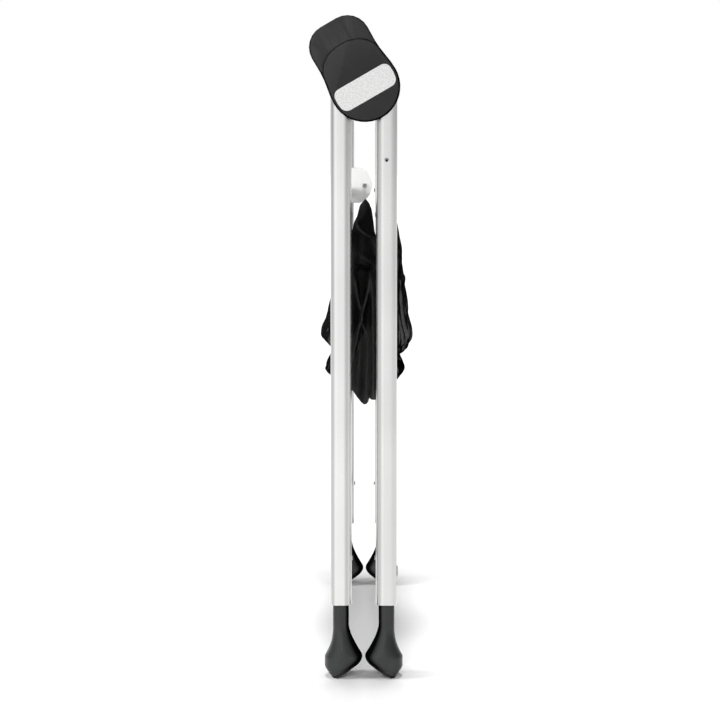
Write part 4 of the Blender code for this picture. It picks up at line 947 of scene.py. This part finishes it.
# Ridges of the near gather: (height, x) along each fold, with its width and how far it stands out
nearFolds = [
    {"line": [(0.566, -0.0100), (0.552, -0.0109), (0.545, -0.0085), (0.538, -0.0049),
              (0.532, 0.0030), (0.5275, 0.0112), (0.5175, 0.0143)],
     "width": 0.0036, "rise": 0.0080},
    {"line": [(0.572, 0.0025), (0.566, 0.0012), (0.555, -0.0040), (0.544, -0.0099)],
     "width": 0.0040, "rise": 0.0030},
    {"line": [(0.5114, -0.0069), (0.504, 0.0010), (0.4973, 0.0112)],
     "width": 0.0050, "rise": 0.0035},
    {"line": [(0.4872, 0.0072), (0.465, 0.0052), (0.4366, -0.0018), (0.4105, -0.0079),
              (0.390, -0.0120)],
     "width": 0.0027, "rise": 0.0085},
    {"line": [(0.4811, -0.0100), (0.461, -0.0079), (0.4327, -0.0024), (0.415, 0.0010)],
     "width": 0.0026, "rise": 0.0060},
    {"line": [(0.488, 0.0094), (0.4366, 0.0110), (0.376, 0.0116), (0.335, 0.0112)],
     "width": 0.0030, "rise": 0.0062},
    {"line": [(0.520, -0.0120), (0.470, -0.0142), (0.420, -0.0146), (0.345, -0.0130)],
     "width": 0.0034, "rise": 0.0040},
    {"line": [(0.412, -0.0040), (0.380, -0.0058), (0.340, -0.0072)],
     "width": 0.0042, "rise": 0.0042},
    {"line": [(0.425, 0.0052), (0.380, 0.0044), (0.325, 0.0030)],
     "width": 0.0040, "rise": 0.0044}]
farFolds = [{"line": [(0.52, x), (0.33, x * 1.2)], "width": 0.003, "rise": 0.0045}
            for x in (-0.022, -0.012, -0.003, 0.006, 0.015, 0.024)]

# The step across the near gather, as (x, z) pairs
nearCrease = [(-0.0110, 0.4900), (-0.0079, 0.4930), (-0.0040, 0.4965), (0.0010, 0.4950),
              (0.0045, 0.4930), (0.0072, 0.4960), (0.0100, 0.4985)]

panelLook = {
    "columns": 150, "rows": 220, "front": 0.2285, "bulge": 0.0050,
    "foldTop": (0.012, 0.3), "foldLow": (0.02, 0.6),
    "creaseStep": 0.0040, "creaseWidth": 0.0018, "creaseFrom": -0.0095, "creaseTo": 0.0095,
    "creaseFade": 0.004, "creaseTail": 4, "dip": 0.0030, "dipBelow": 1.5, "dipWidth": 1.3,
    "coarse": 0.0016, "coarseScale": (110.0, 1.0, 16.0),
    "fine": 0.0006, "fineScale": (260.0, 1.0, 90.0), "fineSeed": 11,
    "curl": 0.002, "curlFrom": 0.93, "curlShare": 0.07, "hemCurl": 0.0025, "hemShare": 0.03,
    "height": 0.14, "fullRise": 0.0085, "patch": 0.5, "patchScale": (60.0, 1.0, 12.0)}


def lineAt(points, value):
    keys = [point[0] for point in points]
    values = [point[1] for point in points]
    if keys[0] > keys[-1]:
        keys, values = keys[::-1], values[::-1]
    return float(np.interp(value, keys, values))


def foldRise(x, z, folds):
    # A fold fades out over a length beyond each of its ends.
    rise = 0.0
    (topFade, topKept), (lowFade, lowKept) = panelLook["foldTop"], panelLook["foldLow"]
    for fold in folds:
        top, low = fold["line"][0][0], fold["line"][-1][0]
        fade = clamped((top - z) / topFade + topKept) * clamped((z - low) / lowFade + lowKept)
        offset = (x - lineAt(fold["line"], z)) / fold["width"]
        rise += fold["rise"] * fade * math.exp(-offset * offset)
    return rise


def creaseRise(x, z, crease):
    # The cloth above the crease stands out and lies over a dip below it.
    look = panelLook
    above = (z - lineAt(crease, x)) / look["creaseWidth"]
    shown = (ease((x - look["creaseFrom"]) / look["creaseFade"])
             * ease((look["creaseTo"] - x) / look["creaseFade"]))
    step = look["creaseStep"] * ease(0.5 + above / 2)
    step *= math.exp(-max(0.0, above) / look["creaseTail"])
    dip = look["dip"] * math.exp(-((above + look["dipBelow"]) / look["dipWidth"]) ** 2)
    return shown * (step - dip)


def makeEndPanel(label, hem, bottom, folds, crease, seed):
    side, look, half = sides[label], panelLook, clothShape["rest"]

    def place(across, along):
        x = half * (2 * across - 1)
        z = between(lineAt(hem, x), lineAt(bottom, x), along)
        rise = look["bulge"] * (1 - (x / half) ** 2) + foldRise(x, z, folds)
        if crease:
            rise += creaseRise(x, z, crease)
        rise += look["coarse"] * wrinkle((x, 0.0, z), look["coarseScale"], seed)
        rise += look["fine"] * wrinkle((x, 0.0, z), look["fineScale"], seed + look["fineSeed"])
        rise -= look["curl"] * max(0.0, (along - look["curlFrom"]) / look["curlShare"]) ** 2
        rise -= look["hemCurl"] * max(0.0, 1 - along / look["hemShare"]) ** 2
        return Vector((x, side * (look["front"] + rise), z))

    bm = gridMesh(look["columns"], look["rows"], place)
    # How high each point stands, with random patches, for the painted shade of the valleys
    raised = bm.verts.layers.float.new("foldHeight")
    for vert in bm.verts:
        x, z = vert.co.x, vert.co.z
        patchy = look["patch"] * wrinkle((x, 0.0, z), look["patchScale"], seed)
        vert[raised] = clamped(look["height"] + foldRise(x, z, folds) / look["fullRise"] + patchy)
    finishCloth(f"basket_cloth_end_{label}", bm, panelCut,
                ["basket_middle"] if label == "near" else [])


makeBasketBody()
makeEndPanel("near", nearHem, nearBottom, nearFolds, nearCrease, 1.0)
makeEndPanel("far", farHem, farBottom, farFolds, None, 5.0)
print("cloth made")


# Floor, world, lamps and camera

floorLook = {"colour": 0.80, "lift": 0.05, "whiteFrom": 0.27, "whiteTo": 0.42, "half": 12.0,
             "drop": 0.0002, "roughness": 0.25, "gloss": 0.03}


def makeFloor():
    bm = bmesh.new()
    bmesh.ops.create_grid(bm, x_segments=1, y_segments=1, size=floorLook["half"])
    floor = placeMesh("studio_floor", bm)
    floor.location.z = -floorLook["drop"]
    material, tree, shader = startMaterial("pale studio floor", Roughness=floorLook["roughness"],
                                           Specular_IOR_Level=floorLook["gloss"],
                                           Emission_Color=grey(1.0))
    rays = addNode(tree, "ShaderNodeLightPath").outputs
    seen = mathNode(tree, "MAXIMUM", rays["Is Camera Ray"], rays["Is Glossy Ray"])
    seen = mathNode(tree, "MAXIMUM", seen, rays["Is Transmission Ray"])
    # Away from the stand the floor turns into plain white, so that it has no horizon.
    reach = addNode(tree, "ShaderNodeVectorMath", operation="LENGTH")
    tree.links.new(pointOf(tree, "Object"), reach.inputs[0])
    white = rampNode(tree, reach.outputs["Value"],
                     (floorLook["whiteFrom"], floorLook["whiteTo"], 0.0, 1.0))
    colour = mixColours(tree, white, grey(floorLook["colour"]), grey(0.0))
    tree.links.new(colour, shader.inputs["Base Color"])
    glow = rampNode(tree, white, (0.0, 1.0, floorLook["lift"], 1.0))
    tree.links.new(productOf(tree, seen, glow), shader.inputs["Emission Strength"])
    floor.data.materials.append(material)


# The levels that metal reflects, from the front of the set to its back, then overhead and on the
# dark side, with the range of Z or X where those come in. "lit" is what lights the stand.
worldLook = {
    "levels": [(0.0, 1.06), (0.14, 1.03), (0.26, 0.82), (0.38, 0.50), (0.50, 0.32), (0.64, 0.42),
               (0.80, 0.85), (1.0, 1.0)],
    "overhead": 0.45, "overheadRange": (0.45, 0.95), "dark": 0.30, "darkRange": (-0.3, 0.8),
    "lit": 0.13}


def makeWorld():
    world = bpy.data.worlds.new("studio")
    bpy.context.scene.world = world
    world.use_nodes = True
    tree = world.node_tree
    rays = addNode(tree, "ShaderNodeLightPath").outputs
    direction = pointOf(tree, "Generated")
    depth = rampNode(tree, axisPart(tree, direction, "Y"), (-1.0, 1.0, 0.0, 1.0))
    level = greyRamp(tree, depth, worldLook["levels"])
    for axis, title in (("Z", "overhead"), ("X", "dark")):
        place = axisPart(tree, direction, axis)
        shown = rampNode(tree, place, (*worldLook[title + "Range"], 0.0, 1.0))
        level = mixColours(tree, shown, level, grey(worldLook[title]))
    mirror = mathNode(tree, "MAXIMUM", rays["Is Glossy Ray"], rays["Is Transmission Ray"])
    lit = mixColours(tree, mirror, grey(worldLook["lit"]), level)
    seen = mixColours(tree, rays["Is Camera Ray"], lit, grey(1.0))
    tree.links.new(seen, tree.nodes["Background"].inputs["Color"])


# Place, target, size and power of each lamp
lampLook = {
    "top_light": ((0.0, -0.05, 2.5), (0.0, 0.0, 0.0), (0.35, 0.35), 58.0),
    "front_light": ((-0.5, -2.6, 1.1), (0.0, 0.0, 0.40), (0.9, 1.3), 27.0),
    "left_light": ((-1.3, -0.35, 0.80), (0.0, 0.05, 0.62), (0.4, 0.5), 14.0),
    "right_light": ((1.2, -0.7, 1.5), (0.0, -0.2, 0.7), (0.3, 0.3), 5.0),
    "hub_light": ((-0.55, -0.33, 0.76), (-0.02, -0.27, 0.75), (0.12, 0.12), 1.6)}


def makeLamp(name, place, target, size, power):
    lamp = bpy.data.lights.new(name, "AREA")
    lamp.shape = "RECTANGLE"
    lamp.size, lamp.size_y = size
    lamp.energy = power
    holder = bpy.data.objects.new(name, lamp)
    holder.location = place
    holder.rotation_euler = (Vector(target) - Vector(place)).to_track_quat("-Z", "Y").to_euler()
    holder.visible_glossy = False   # the world gives the reflections
    bpy.context.scene.collection.objects.link(holder)


cameraLook = {"place": (0.0060, -3.2086, 0.7502), "pitchDown": 5.601, "turn": 0.204,
              "lens": 124.30, "sensor": 36.0, "shift": -0.0893}


def makeCamera():
    data = bpy.data.cameras.new("photo_camera")
    data.lens = cameraLook["lens"]
    data.sensor_width = cameraLook["sensor"]
    data.shift_y = cameraLook["shift"]
    camera = bpy.data.objects.new("photo_camera", data)
    camera.location = cameraLook["place"]
    camera.rotation_euler = (math.radians(90 - cameraLook["pitchDown"]), 0.0,
                             math.radians(cameraLook["turn"]))
    bpy.context.scene.collection.objects.link(camera)
    bpy.context.scene.camera = camera


makeFloor()
makeWorld()
for name, settings in lampLook.items():
    makeLamp(name, *settings)
makeCamera()
bpy.context.scene.view_settings.view_transform = "Standard"
print("studio set")
